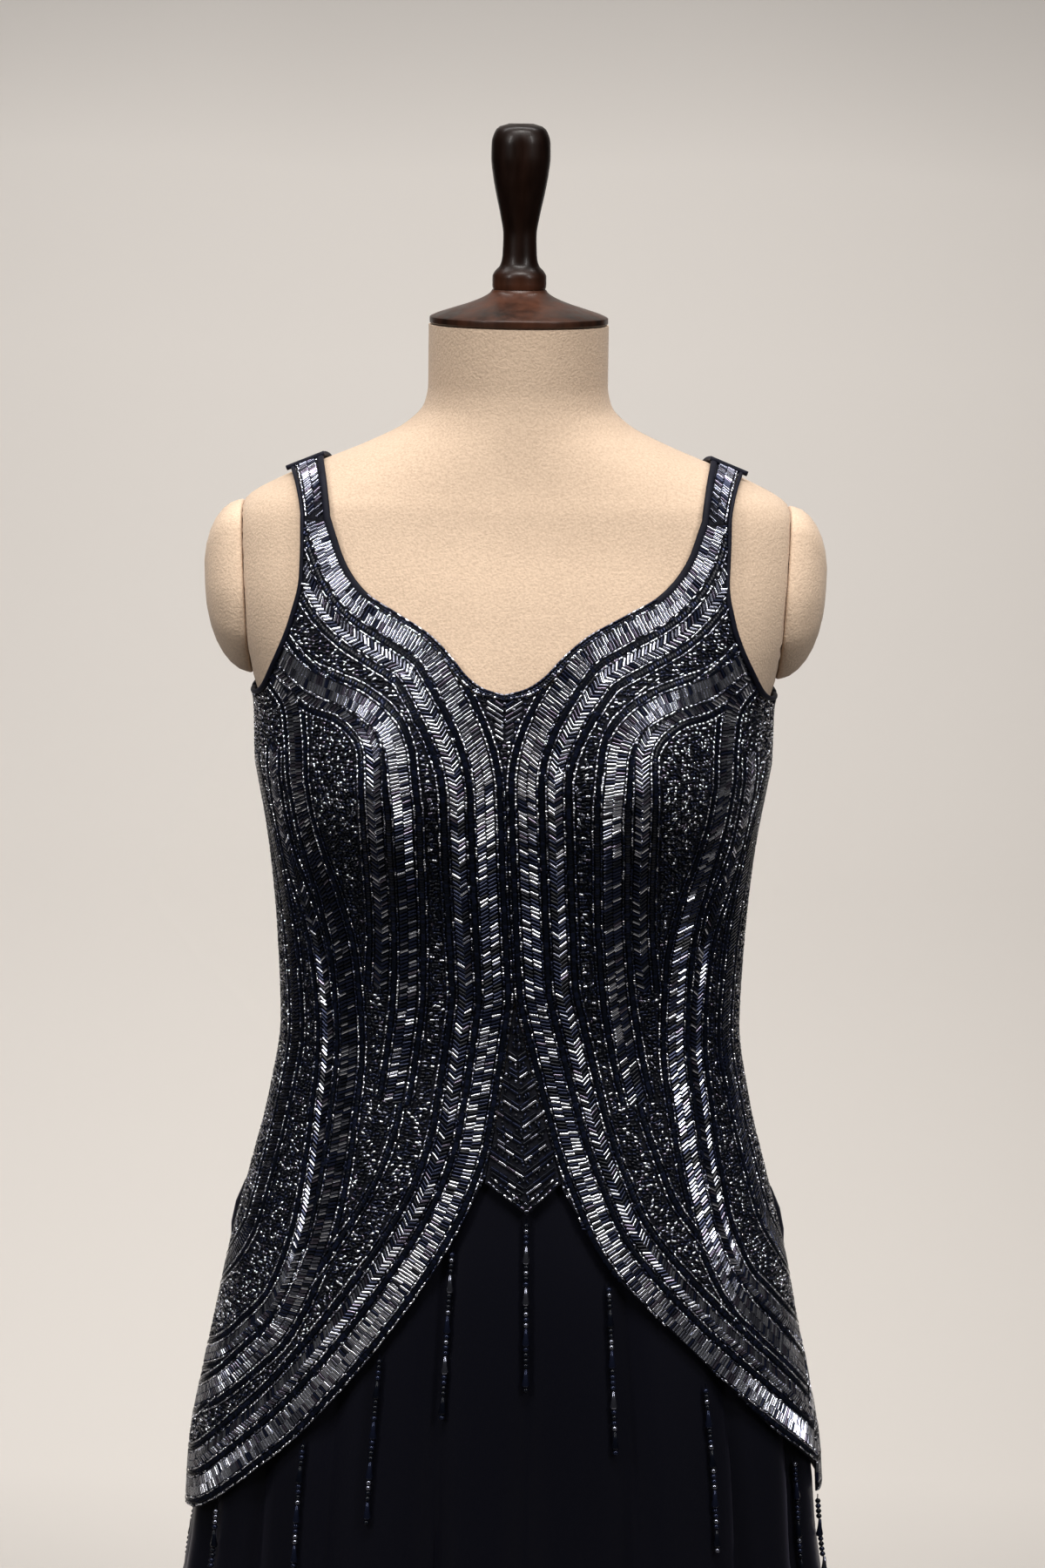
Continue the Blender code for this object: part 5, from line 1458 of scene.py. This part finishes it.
ARCH_H = ((0.720, 1.2500), (0.730, 1.2070), (0.718, 1.1810), (0.675, 1.1540), (0.640, 1.1300),
          (0.622, 1.1000), (0.617, 1.0790), (0.618, 1.0400), (0.614, 1.0100), (0.603, 0.9640),
          (0.603, 0.9400), (0.620, 0.9170), (0.663, 0.8930), (0.734, 0.8750), (0.800, 0.8600),
          (0.990, 0.8280), (1.160, 0.8080))
ARCH_J = ((0.860, 1.2400), (0.830, 1.2000), (0.800, 1.1600), (0.775, 1.1000), (0.775, 1.0600),
          (0.788, 1.0200), (0.800, 0.9800), (0.804, 0.9530), (0.817, 0.9300), (0.870, 0.9100),
          (0.990, 0.8850), (1.160, 0.8650))


def hem_at(share, side, front):
    """Height of a hem, at a share counted from the centre front or from the centre back."""
    if front:
        return read(FRONT_HEM, 1 if side < 0 else 2, np.clip(share, 0.110, 1.0))
    return read(BACK_HEM, 1, np.clip(2.0 - share, 0.8, 2.0))


def guide(table, side, front):
    """A guide line on one half, moved with the hem it belongs to."""
    table = np.array(table, dtype=float)
    share, height = table[:, 0], table[:, 1]
    first_hem = hem_at(share, 1, True)
    weight = np.clip((1.0 - height) / (1.0 - first_hem), 0.0, 1.0)
    height = height + (hem_at(share, side, front) - first_hem) * weight
    share = share if front else 2.0 - share
    return drawn(gown, np.column_stack((share, height)), side)


def rim(side, front):
    """The finished edge: strap, neckline, rounded corner, centre line, corner, hem."""
    neck = NECK_FRONT if front else NECK_BACK
    shares, heights = edge_walk(neck, front, -RIM_OUTSIDE, 1, 60)
    shares = shares if front else 2.0 - shares
    keep = shares > 0.13
    down = np.column_stack((shares[keep][::-1], heights[keep][::-1]))
    corner = np.array(NECK_CORNER) + ((0, 0) if front else (0, -0.004))
    if front:
        seam = [(float(inset_edge(z)), z) for z in np.linspace(1.24, 0.985, 60)]
        low = [(0.122, 0.9660 if side > 0 else 0.9710)]
        sweep = np.linspace(0.150, 1.0, 60)
    else:
        seam = [(0.0, z) for z in np.linspace(1.24, 0.905, 60)]
        low = [(0.004, 0.8900), (0.018, 0.8720), (0.050, 0.8520), (0.090, 0.8410)]
        sweep = np.linspace(0.140, 1.2, 60)
    hem = [(s, float(hem_at(s, side, front))) for s in sweep]
    path = np.concatenate((down, corner, seam, low, hem))
    share = path[:, 0] if front else 2.0 - path[:, 0]
    for _ in range(4):
        share[1:-1] = (share[:-2] + 2 * share[1:-1] + share[2:]) / 4
        path[1:-1, 1] = (path[:-2, 1] + 2 * path[1:-1, 1] + path[2:, 1]) / 4
    return Line(gown, side * share, path[:, 1])


SLANTS = ((0.700, 0.0), (0.930, 0.0), (1.020, 20.0), (1.150, 30.0), (1.240, 30.0), (1.285, 10.0),
          (1.330, 4.0))


def panel_outline(side, front):
    u, v = nets[(side, front)]
    edge = [(u[0], v[0]), (u[:, -1], v[:, -1]), (u[-1, ::-1], v[-1, ::-1]), (u[::-1, 0], v[::-1, 0])]
    return np.concatenate([np.column_stack(part) for part in edge])


def edge_seeds(layer, line, offset, glasses=GLINTS, clear=0.0013):
    """The bright outline of a band: short tubes end to end, with a seed here and there."""
    run_of(layer, TUBE, line, offset, 0.0034, glasses, clear=clear)
    layer.settle()
    run_of(layer, SEED, line, offset, 0.0034 / 2, SPECKS, clear=0.0013, wobble=0.03)


def stripe(layer, line, middle, width):
    """Bright outlines on both edges, with dark sequins overlapping between them."""
    for offset in (middle - width / 2, middle + width / 2):
        edge_seeds(layer, line, offset)
    layer.settle()
    if width > 0.0040:
        run_of(layer, SEQUIN, line, middle, 0.0020, {NIGHT: 3, BLUE_BLACK: 1}, clear=0.0013, lift=0.0004)
    layer.settle()


def chevron(layer, side, height, reach, lean, glasses, middle=0.0):
    """One V across the centre line: tubes from the middle up to both sides."""
    walk = quarter(gown_oval, height, True)[2][-1]
    run = 0.0010 / walk
    while run * walk * math.cos(math.radians(lean)) < reach:
        place = run + 0.0029 * math.cos(math.radians(lean)) / walk
        rise = height + place * walk * math.tan(math.radians(lean))
        spot = (np.array([side * (middle + place)]), np.array([rise]))
        level, up = (unit(net) for net in (gown.blend(gown.by_u, *spot), gown.blend(gown.by_v, *spot)))
        way = side * level * math.cos(math.radians(lean)) + up * math.sin(math.radians(lean))
        layer.lay(BUGLE, *spot, way, chosen(1, glasses), clear=0.0011, margin=0.0006)
        run = place + 0.0033 * math.cos(math.radians(lean)) / walk


def lay_half(side, front):
    """All the beads of one half."""
    name = ("front" if front else "back") + ("_left" if side < 0 else "_right")
    layer = Layer("beads_" + name, gown, panel_outline(side, front))
    inward = 1.0 if (side > 0) == front else -1.0
    edge = rim(side, front)
    d, e, g, h, j = (guide(table, side, front) for table in (ARCH_D, ARCH_E, ARCH_G, ARCH_H, ARCH_J))

    def slant(v):
        return inward * read(SLANTS, 1, v)

    def rising(v):
        return -read(((0.70, 26.0), (1.20, 26.0), (1.26, 4.0), (1.33, 0.0)), 1, v)

    # the first two bands follow the edge, the others are arches
    double_band(layer, edge, inward * 0.0132, 0.0118, slant, BRIGHT, clear=0.0, margin=0.0002)
    herringbone(layer, edge, inward * 0.0315, 0.0096, 36.0, MIDDLE, clear=0.0)
    layer.settle()
    double_band(layer, d, 0.0, 0.0118, rising, BRIGHT)
    layer.settle()
    herringbone(layer, e, 0.0, 0.0096, 36.0, MIDDLE)
    layer.settle()
    double_band(layer, g, 0.0, 0.0118, rising, MIDDLE)
    layer.settle()
    herringbone(layer, h, 0.0, 0.0090, 36.0, MIDDLE)
    layer.settle()
    double_band(layer, j, 0.0, 0.0100, rising, DARK)
    layer.settle()
    # stripes beside the edge, then beside the arches
    for middle, width in ((0.0036, 0.0052), (0.0229, 0.0058), (0.0404, 0.0062), (0.0650, 0.0060)):
        stripe(layer, edge, inward * middle, width)
    for arch, half in ((d, 0.0072), (e, 0.0061), (g, 0.0072), (h, 0.0058), (j, 0.0063)):
        for sign in (-1, 1):
            stripe(layer, arch, sign * (half + 0.0028), 0.0056)
    # chevrons in the corner under the neckline
    if front:
        for row in range(11):
            height = 1.2565 + 0.0036 * row
            chevron(layer, side, height, 0.0020 + 0.0013 * row, 32.0, MIDDLE)
            layer.settle()

    def wave(u, v):
        return 14.0 * np.sin(90.0 * v + 11.0 * u)

    fill(layer, 0.69, 1.41, 0.0024, {TUBE: 5, SEED: 2}, SPECKS, clear=0.0014, sway=wave)
    layer.settle()
    fill(layer, 0.69, 1.41, 0.0022, {SEED: 1}, DARK, clear=0.0014)
    return layer


layers = {(side, front): lay_half(side, front) for side in (-1, 1) for front in (True, False)}
for layer in layers.values():
    layer.bag.join()

# %% [markdown]
# ### Inset and straps
# The small pointed inset at the centre front carries stacked chevrons. A strap is only as wide as
# the outermost band, so that band simply runs on over the shoulder, and the rest of the strap
# stays plain cloth.

# %% Beads of the inset and the straps
inset_outline = np.concatenate([np.column_stack(part) for part in (
    (inset_u[0], inset_v[0]), (inset_u[:, -1], inset_v[:, -1]),
    (inset_u[-1, ::-1], inset_v[-1, ::-1]), (inset_u[::-1, 0], inset_v[::-1, 0]))])
inset_layer = Layer("beads_inset", gown, inset_outline)
point_line = [(-0.105, 0.9700), (-0.055, 0.9600), (0.0, 0.9505), (0.055, 0.9600), (0.105, 0.9700)]
foot_steps = np.linspace(0, len(point_line) - 1, 90)
foot_places = [np.interp(foot_steps, range(len(point_line)), places) for places in zip(*point_line)]
inset_foot = Line(gown, *foot_places)
inset_layer.settle()
for offset in (0.0016, 0.0052):
    run_of(inset_layer, TUBE, inset_foot, offset, 0.0034, MIDDLE, clear=0.0, margin=0.0004)
    inset_layer.settle()
for row in range(9):
    height = 0.9630 + 0.0108 * row
    reach = 0.1 * (1.086 - height)
    for side in (-1, 1):
        chevron(inset_layer, side, height, max(reach, 0.004) * 1.9, 34.0, MIDDLE if row % 2 else BRIGHT)
        inset_layer.settle()
        chevron(inset_layer, side, height + 0.0032, max(reach, 0.004) * 1.9, 34.0, DARK)
        inset_layer.settle()


def upright(u, _):
    return np.full(len(u), 90.0)


fill(inset_layer, 0.95, 1.09, 0.0026, {TUBE: 3, SEED: 1}, DARK, clear=0.0014, sway=upright)
inset_layer.bag.join()

STRAP_MIX = {GUNMETAL: 5, BLUE_BLACK: 3, SILVER: 1, VIOLET: 2}
for side in (-1, 1):
    chart = shoulders[side]
    strap_outline = np.concatenate([np.column_stack(part) for part in (
        (strap_u[0], strap_v[0]), (strap_u[:, -1], strap_v[:, -1]),
        (strap_u[-1, ::-1], strap_v[-1, ::-1]), (strap_u[::-1, 0], strap_v[::-1, 0]))])
    strap_layer = Layer("beads_strap" + ("_left" if side < 0 else "_right"), chart, strap_outline)
    middle_line = Line(chart, outer_x - 0.0075, outer_angle)
    strap_layer.settle()
    # the line runs from front to back, so across points to -X, for both straps
    for offset in (-0.0028, 0.0028):
        column(strap_layer, middle_line, offset, 32.0 * side, STRAP_MIX, length=0.96)
    strap_layer.settle()
    for offset in (-0.0068, 0.0068):
        run_of(strap_layer, TUBE, middle_line, offset, 0.0034, GLINTS, clear=0.0012, margin=0.0003)
        strap_layer.settle()
    strap_layer.bag.join()

# %% [markdown]
# ### Beaded edge and shoulder rolls
# Along the neckline the beading runs right over the binding: a row of short tubes end to end marks
# the very edge, and small dark seeds fill the rest of the width. Where front and back straps are
# joined at the top of the shoulder, the raw ends are rolled into a little tube of plain cloth.

# %% Beads over the neckline binding, rolls over the straps
EDGING = {GUNMETAL: 4, BLUE_BLACK: 5, SILVER: 1}
edge_bag = BeadBag("beads_neckline_edge")
for side in (-1, 1):
    outer, inner, ways = halves[side]
    for share, pitch, kind, glasses, top in (
            (0.16, 0.0033, TUBE, EDGING, 1.356), (0.55, 0.0019, SEED, DARK, 1.352),
            (0.86, 0.0018, SEED, SPECKS, 1.352)):
        line = outer * (1 - share) + inner * share
        walked = np.concatenate(([0.0], np.cumsum(np.linalg.norm(np.diff(line, axis=0), axis=1))))
        places = np.arange(pitch / 2, walked[-1], pitch)
        places = places + dice.normal(0.0, 0.06 * pitch, len(places))

        def on_line(net):
            return np.column_stack([np.interp(places, walked, net[:, i]) for i in range(3)])

        spots, out, along = on_line(line), unit(on_line(ways)), unit(on_line(np.gradient(line, axis=0)))
        low = (spots[:, 2] < top) & (spots[:, 1] < 0.0)
        edge_bag.add(kind, (spots + out * (0.0002 + 0.0003 * (kind == TUBE)))[low], along[low], out[low],
                     chosen(int(low.sum()), glasses))
edge_bag.join()

for side, name in ((-1, "shoulder_roll_left"), (1, "shoulder_roll_right")):
    roll_x = np.linspace(NECK_SHOULDER_X - 0.0012, ARM_SHOULDER_X + 0.0022, 12)
    spots, ways = shoulders[side].at(roll_x, np.full(12, -0.122))
    back_spots, _ = shoulders[side].at(roll_x, np.full(12, -0.068))
    lift = ways * 0.0016
    roll_mesh = binding_mesh(name, spots + lift, back_spots + lift, ways, False)
    roll = put(name, roll_mesh, navy_binding)

# %% [markdown]
# ## Fringe
# From the hem hang strands of round beads with a long cone now and then, ending in a cone. They
# are turned shapes on a thread: each bead is a small spin of a profile, copied down the strand
# along the fold of the skirt it hangs against.

# %% Strands
STRAND_FRONT = (-0.76, -0.525, -0.355, -0.19, 0.0, 0.235, 0.495, 0.805)
STRAND_BACK = (0.905, 1.22, 1.46, 1.72, 1.94, -1.10, -1.34, -1.60, -1.84)
STRAND_LENGTH, STRAND_DROP, STRAND_LIFT = 0.122, 0.0055, 0.0034


def turned_bead(profile, sides):
    """A closed bead round its own X axis, from (place along, radius) pairs."""
    inner = profile[1:-1]
    angles = np.arange(sides) * 2 * math.pi / sides
    points = [(profile[0][0], 0.0, 0.0)]
    points += [(x, r * math.cos(a), r * math.sin(a)) for x, r in inner for a in angles]
    points.append((profile[-1][0], 0.0, 0.0))
    last = len(points) - 1
    faces = [(0, 1 + (i + 1) % sides, 1 + i) for i in range(sides)]
    for row in range(len(inner) - 1):
        low, high = 1 + row * sides, 1 + (row + 1) * sides
        faces += [(low + i, low + (i + 1) % sides, high + (i + 1) % sides, high + i) for i in range(sides)]
    start = 1 + (len(inner) - 1) * sides
    faces += [(last, start + i, start + (i + 1) % sides) for i in range(sides)]
    return np.array(points), faces


ROUND, CONE, THREAD = 10, 11, 12
BEADS[ROUND] = turned_bead(
    [(-0.0018, 0), (-0.0014, 0.0013), (0.0, 0.0021), (0.0014, 0.0013), (0.0018, 0)], 10)
BEADS[CONE] = turned_bead([(-0.0062, 0), (-0.0060, 0.0010), (0.0, 0.0016), (0.0046, 0.0026),
                           (0.0060, 0.0022), (0.0064, 0)], 10)
BEADS[THREAD] = prism(5, 0.0040, 0.0004, 0.0)
STRAND_RUN = ([ROUND] * 4 + [CONE]) * 4 + [ROUND, CONE]
STRAND_STEP = {ROUND: 0.0037, CONE: 0.0129}


def strand_top(share):
    if abs(share) > 0.88:
        return float(hem_back(share))
    return INSET_POINT if share == 0.0 else float(hem_front(share))


def hang_strand(number, share):
    height = strand_top(share) - STRAND_DROP
    heights = np.linspace(height, height - STRAND_LENGTH, 120)
    worn = np.array([float(drifted(np.array([share]), z)[0]) for z in heights])
    points, normals = skirt.at((worn + 2.0) % 4.0 - 2.0, heights)
    out = unit(normals * (1.0, 1.0, 0.0))
    path = points + out * STRAND_LIFT
    walked = np.concatenate(([0.0], np.cumsum(np.linalg.norm(np.diff(path, axis=0), axis=1))))
    bag, place = BeadBag("fringe_%02d" % number), 0.0012
    spots, kinds = [], []
    for kind in STRAND_RUN:
        if place + STRAND_STEP[kind] > STRAND_LENGTH:
            break
        spots.append(place + STRAND_STEP[kind] / 2)
        kinds.append(kind)
        place += STRAND_STEP[kind]
    kinds, spots = np.array(kinds), np.array(spots)

    def at(net, places):
        return np.column_stack([np.interp(places, walked, net[:, i]) for i in range(3)])

    down = unit(np.gradient(path, axis=0))
    for kind in (ROUND, CONE):
        some = spots[kinds == kind]
        bag.add(kind, at(path, some), at(down, some), unit(at(out, some)),
                chosen(len(some), {BLUE_BLACK: 4, NIGHT: 3, GUNMETAL: 2}))
    links = np.arange(0.0, place, 0.0038)
    bag.add(THREAD, at(path, links), at(down, links), unit(at(out, links)), chosen(len(links), {NIGHT: 1}))
    made = bag.join()
    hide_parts("bead_strand_%02d" % number)


for number, share in enumerate(STRAND_FRONT + STRAND_BACK):
    hang_strand(number + 1, share)
# %% [markdown]
# ## Zip
# The gown closes down the centre back with a zip: two narrow tapes, a row of teeth that hook in
# from each side by turns, a slider at the top of its run and a pull on the slider's pin. The tape
# is a thin shell sunk under the face of the cloth. A tooth is a short bar laid across it, copied
# down both sides. Slider and pull are blocks shaped in edit mode with their edges bevelled. The
# pull is the one part that moves, so it rides on its own body and keeps its eye round the pin.

# %% Tape and teeth
ZIP_SINK, ZIP_WALL, TOOTH_PITCH = 0.0006, 0.0012, 0.0012
tape_heights = np.linspace(ZIP_FOOT, ZIP_TOP, 60)
tape_half = np.array([in_shares(ZIP_TAPE_WIDTH, height, False) for height in tape_heights])
tape_u = (4.0 + np.linspace(-1.0, 1.0, 5) * tape_half[:, None]) % 4.0 - 2.0
tape_v = np.repeat(tape_heights[:, None], 5, axis=1)
tape_outer = laid(gown, tape_u, tape_v, ZIP_SINK)
tape_inner = laid(gown, tape_u, tape_v, ZIP_SINK + ZIP_WALL)
zip_tape = put("zip_tape_cloth", wall_mesh("zip_tape_cloth", [(tape_outer, tape_inner, False)]),
               navy_binding, smooth_angle=50)
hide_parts("zip_tape")
tooth_heights = np.arange(ZIP_FOOT + 0.002, ZIP_TOP - 0.002, TOOTH_PITCH)
tooth_seats, tooth_ways = gown.at(np.full(len(tooth_heights), 2.0), tooth_heights)
bar, bar_faces = prism(6, 0.0030, 0.00042, math.pi / 6)
teeth_points, teeth_faces = [], []
for number, (seat, way) in enumerate(zip(tooth_seats, unit(tooth_ways))):
    aside = Vector((0.0004 * (-1) ** number, 0.0, 0.0))
    up = np.cross(way, (1.0, 0.0, 0.0))
    start = number * len(bar)
    centre = seat + aside - way * (ZIP_SINK - 0.0001)
    teeth_points += [centre + (x, 0.0, 0.0) + y * up + z * way for x, y, z in bar]
    teeth_faces += [tuple(start + i for i in face) for face in bar_faces]
zip_teeth_mesh = mesh_of("zip_teeth", teeth_points, teeth_faces)
zip_teeth = put("zip_teeth", zip_teeth_mesh, zip_metal, smooth_angle=50)

# %% Slider and pull
PIN = Vector((0.0, 0.11412, 1.2720))
SLIDER_FACE = PIN.y - 0.0026


def block(name, low, high):
    """A cube between two corners, with its place and size applied."""
    bpy.ops.object.select_all(action="DESELECT")
    bpy.ops.mesh.primitive_cube_add(size=1.0, location=(Vector(low) + Vector(high)) / 2)
    made = bpy.context.object
    made.name = made.data.name = name
    made.scale = Vector(high) - Vector(low)
    bpy.ops.object.transform_apply(location=True, scale=True)
    return made


def narrowed(piece, end, factor):
    """Narrow the upper (1) or the lower (-1) end of a block."""
    middle = sum(vert.co.z for vert in piece.data.vertices) / 8
    for part in (*piece.data.polygons, *piece.data.edges):
        part.select = False
    for vert in piece.data.vertices:
        vert.select = end * (vert.co.z - middle) > 0
    bpy.ops.object.mode_set(mode="EDIT")
    bpy.ops.transform.resize(value=(factor, 1.0, 1.0), center_override=(0.0, 0.0, 0.0))
    bpy.ops.object.mode_set(mode="OBJECT")


def joined(pieces, bevel_width, node, body):
    """Join pieces, bevel the edges and finish them as one object."""
    bpy.ops.object.select_all(action="DESELECT")
    for piece in pieces:
        piece.select_set(True)
    made = pieces[0]
    bpy.context.view_layer.objects.active = made
    bpy.ops.object.join()
    bevel = made.modifiers.new("soft_edges", "BEVEL")
    bevel.width, bevel.segments, bevel.limit_method = bevel_width, 2, "ANGLE"
    bevel.angle_limit = math.radians(50)
    bpy.ops.object.modifier_apply(modifier="soft_edges")
    made.data.shade_smooth()
    made.data.set_sharp_from_angle(angle=math.radians(50))
    made.data.materials.clear()
    made.data.materials.append(zip_metal)
    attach(made, body)
    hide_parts(node)
    return made


slider_body = block("zip_slider_shaped", (-0.0032, SLIDER_FACE - 0.0024, PIN.z - 0.0050),
                    (0.0032, SLIDER_FACE, PIN.z + 0.0050))
narrowed(slider_body, -1, 0.75)
lugs = [block("lug", (side * 0.0027 - 0.0005, SLIDER_FACE - 0.0002, PIN.z - 0.0018),
              (side * 0.0027 + 0.0005, SLIDER_FACE + 0.0038, PIN.z + 0.0018)) for side in (-1, 1)]
bpy.ops.mesh.primitive_cylinder_add(vertices=16, radius=0.0006, depth=0.0054, location=PIN,
                                    rotation=(0.0, math.pi / 2, 0.0))
pin = bpy.context.object
bpy.ops.object.transform_apply(location=True, rotation=True)
zip_slider = joined([slider_body, *lugs, pin], 0.0003, "zip_slider", "gown_on_form")

pull_tab = block("zip_pull_shaped", (-0.0017, PIN.y - 0.0006, PIN.z - 0.0240),
                 (0.0017, PIN.y + 0.0006, PIN.z - 0.0016))
narrowed(pull_tab, 1, 0.55)
bpy.ops.mesh.primitive_torus_add(major_radius=0.00155, minor_radius=0.00045, major_segments=24,
                                 minor_segments=8, location=PIN, rotation=(0.0, math.pi / 2, 0.0))
eye = bpy.context.object
bpy.ops.object.transform_apply(location=True, rotation=True)
zip_pull = joined([pull_tab, eye], 0.0003, "zip_pull", "zip_pull")
print("slider and pull:", len(zip_slider.data.polygons), "and", len(zip_pull.data.polygons), "faces")


# %% [markdown]
# ## Studio
# A plain pale sweep: floor and wall in one sheet, turned up behind the form with a wide round
# corner so that no line shows. Its paint is darker on the floor, and up the wall it is graded by
# height, palest near the middle and darker towards the top: painted light and shade of the lamps.
# Long narrow panels give the light: one lies high in front, one stands at each side, and two
# behind the form brighten the wall. Narrow panels draw thin bright lines on the beads. A very
# faint warm sky all round keeps the shadows from going black.

# %% Floor, light and camera
sweep_paint = Finish("sweep_paint", Roughness=0.95)
sweep_paint.shader.inputs["Specular IOR Level"].default_value = 0.1
sweep_height = sweep_paint.node("SeparateXYZ", {}, {"Vector": sweep_paint.place()}, "Z")
# painted light and shade: the paint is graded by height, palest mid-wall and darker towards the top
sweep_painted_grading = sweep_height * 0.5 + (sweep_paint.noise(1.3) - 0.5) * 0.06
sweep_ramp = sweep_paint.node("ValToRGB", {}, {"Fac": sweep_painted_grading})
sweep_stops = sweep_ramp.socket.node.color_ramp.elements
for place, tone in ((0.10, 0.600), (0.45, 0.700), (0.70, 0.745), (0.80, 0.720)):
    sweep_stops.new(place).color = (tone, 0.945 * tone, 0.890 * tone, 1.0)
sweep_stops[0].color, sweep_stops[-1].color = (0.400, 0.378, 0.356, 1.0), (0.500, 0.472, 0.445, 1.0)
sweep_stops[-1].position = 0.92
sweep_finish = sweep_paint.wear(Base_Color=sweep_ramp)
SWEEP_HALF, SWEEP_FRONT, SWEEP_WALL, SWEEP_TOP, SWEEP_BEND = 1.15, -1.1, 1.6, 4.5, 0.8
bend = [(SWEEP_WALL - SWEEP_BEND + SWEEP_BEND * math.sin(a), SWEEP_BEND - SWEEP_BEND * math.cos(a))
        for a in np.linspace(0.0, math.pi / 2, 17)]
sweep_line = [(SWEEP_FRONT, 0.0), *bend, (SWEEP_WALL, SWEEP_TOP)]
sweep_points = [(x, y, z - 0.0005) for y, z in sweep_line for x in (-SWEEP_HALF, SWEEP_HALF)]
sweep_mesh = mesh_of("sweep", sweep_points, net_faces(len(sweep_line), 2))
sweep_mesh.materials.append(sweep_finish)
sweep_mesh.shade_smooth()
sweep = bpy.data.objects.new("sweep", sweep_mesh)
bpy.context.collection.objects.link(sweep)

AIM = Vector((0.0, 0.0, 1.08))


def soft_panel(name, spot, size, watts, colour, aim=AIM, spread=180.0):
    data = bpy.data.lights.new(name, "AREA")
    data.shape, data.energy, data.color = "RECTANGLE", watts, colour
    data.size, data.size_y = size
    data.spread = math.radians(spread)
    lamp = bpy.data.objects.new(name, data)
    lamp.visible_camera = False
    lamp.location = spot
    lamp.rotation_euler = (aim - Vector(spot)).to_track_quat("-Z", "Y").to_euler()
    bpy.context.collection.objects.link(lamp)
    return lamp


soft_panel("key_strip", (0.05, -1.00, 3.40), (2.6, 0.35), 15.0, (1.0, 0.975, 0.94), spread=75.0)
soft_panel("left_strip", (-1.60, -1.55, 2.55), (0.30, 1.20), 4.6, (1.0, 0.98, 0.96), spread=75.0)
soft_panel("right_strip", (1.60, -1.55, 2.55), (0.30, 1.20), 4.2, (1.0, 0.98, 0.96), spread=75.0)
WALL_LIGHT = (1.0, 0.985, 0.97)
LOW_AIM, HIGH_AIM = Vector((0.0, SWEEP_WALL, 1.05)), Vector((-0.2, SWEEP_WALL, 0.9))
soft_panel("wall_low_panel", (-0.2, 0.50, 0.35), (3.0, 0.25), 8.6, WALL_LIGHT, LOW_AIM)
soft_panel("wall_high_panel", (-0.2, 0.35, 3.0), (2.4, 0.5), 35.0, WALL_LIGHT, HIGH_AIM)
world = bpy.data.worlds.new("studio_air")
world.use_nodes = True
world.node_tree.nodes["Background"].inputs["Color"].default_value = (1.0, 0.975, 0.945, 1.0)
world.node_tree.nodes["Background"].inputs["Strength"].default_value = 0.025
bpy.context.scene.world = world
bpy.context.scene.view_settings.view_transform = "Standard"

CAMERA_SPOT = (0.0064, -2.450, 1.670)
CAMERA_PITCH = math.radians(10.5)
CAMERA_ROLL = math.radians(0.75)
FIELD_OF_VIEW = 2 * math.atan(900 / 4234)
camera_data = bpy.data.cameras.new("camera")
camera_data.sensor_fit = "VERTICAL"
camera_data.angle = FIELD_OF_VIEW
camera = bpy.data.objects.new("camera", camera_data)
camera.location = CAMERA_SPOT
camera.rotation_mode = "XYZ"
camera.rotation_euler = (math.pi / 2 - CAMERA_PITCH, 0.0, 0.0)
camera.rotation_euler = (camera.rotation_euler.to_matrix() @ Matrix.Rotation(
    CAMERA_ROLL, 3, "Z")).to_euler()
bpy.context.collection.objects.link(camera)
bpy.context.scene.camera = camera
field = round(math.degrees(FIELD_OF_VIEW), 2)
print("camera:", tuple(round(v, 3) for v in camera.location), "field", field)
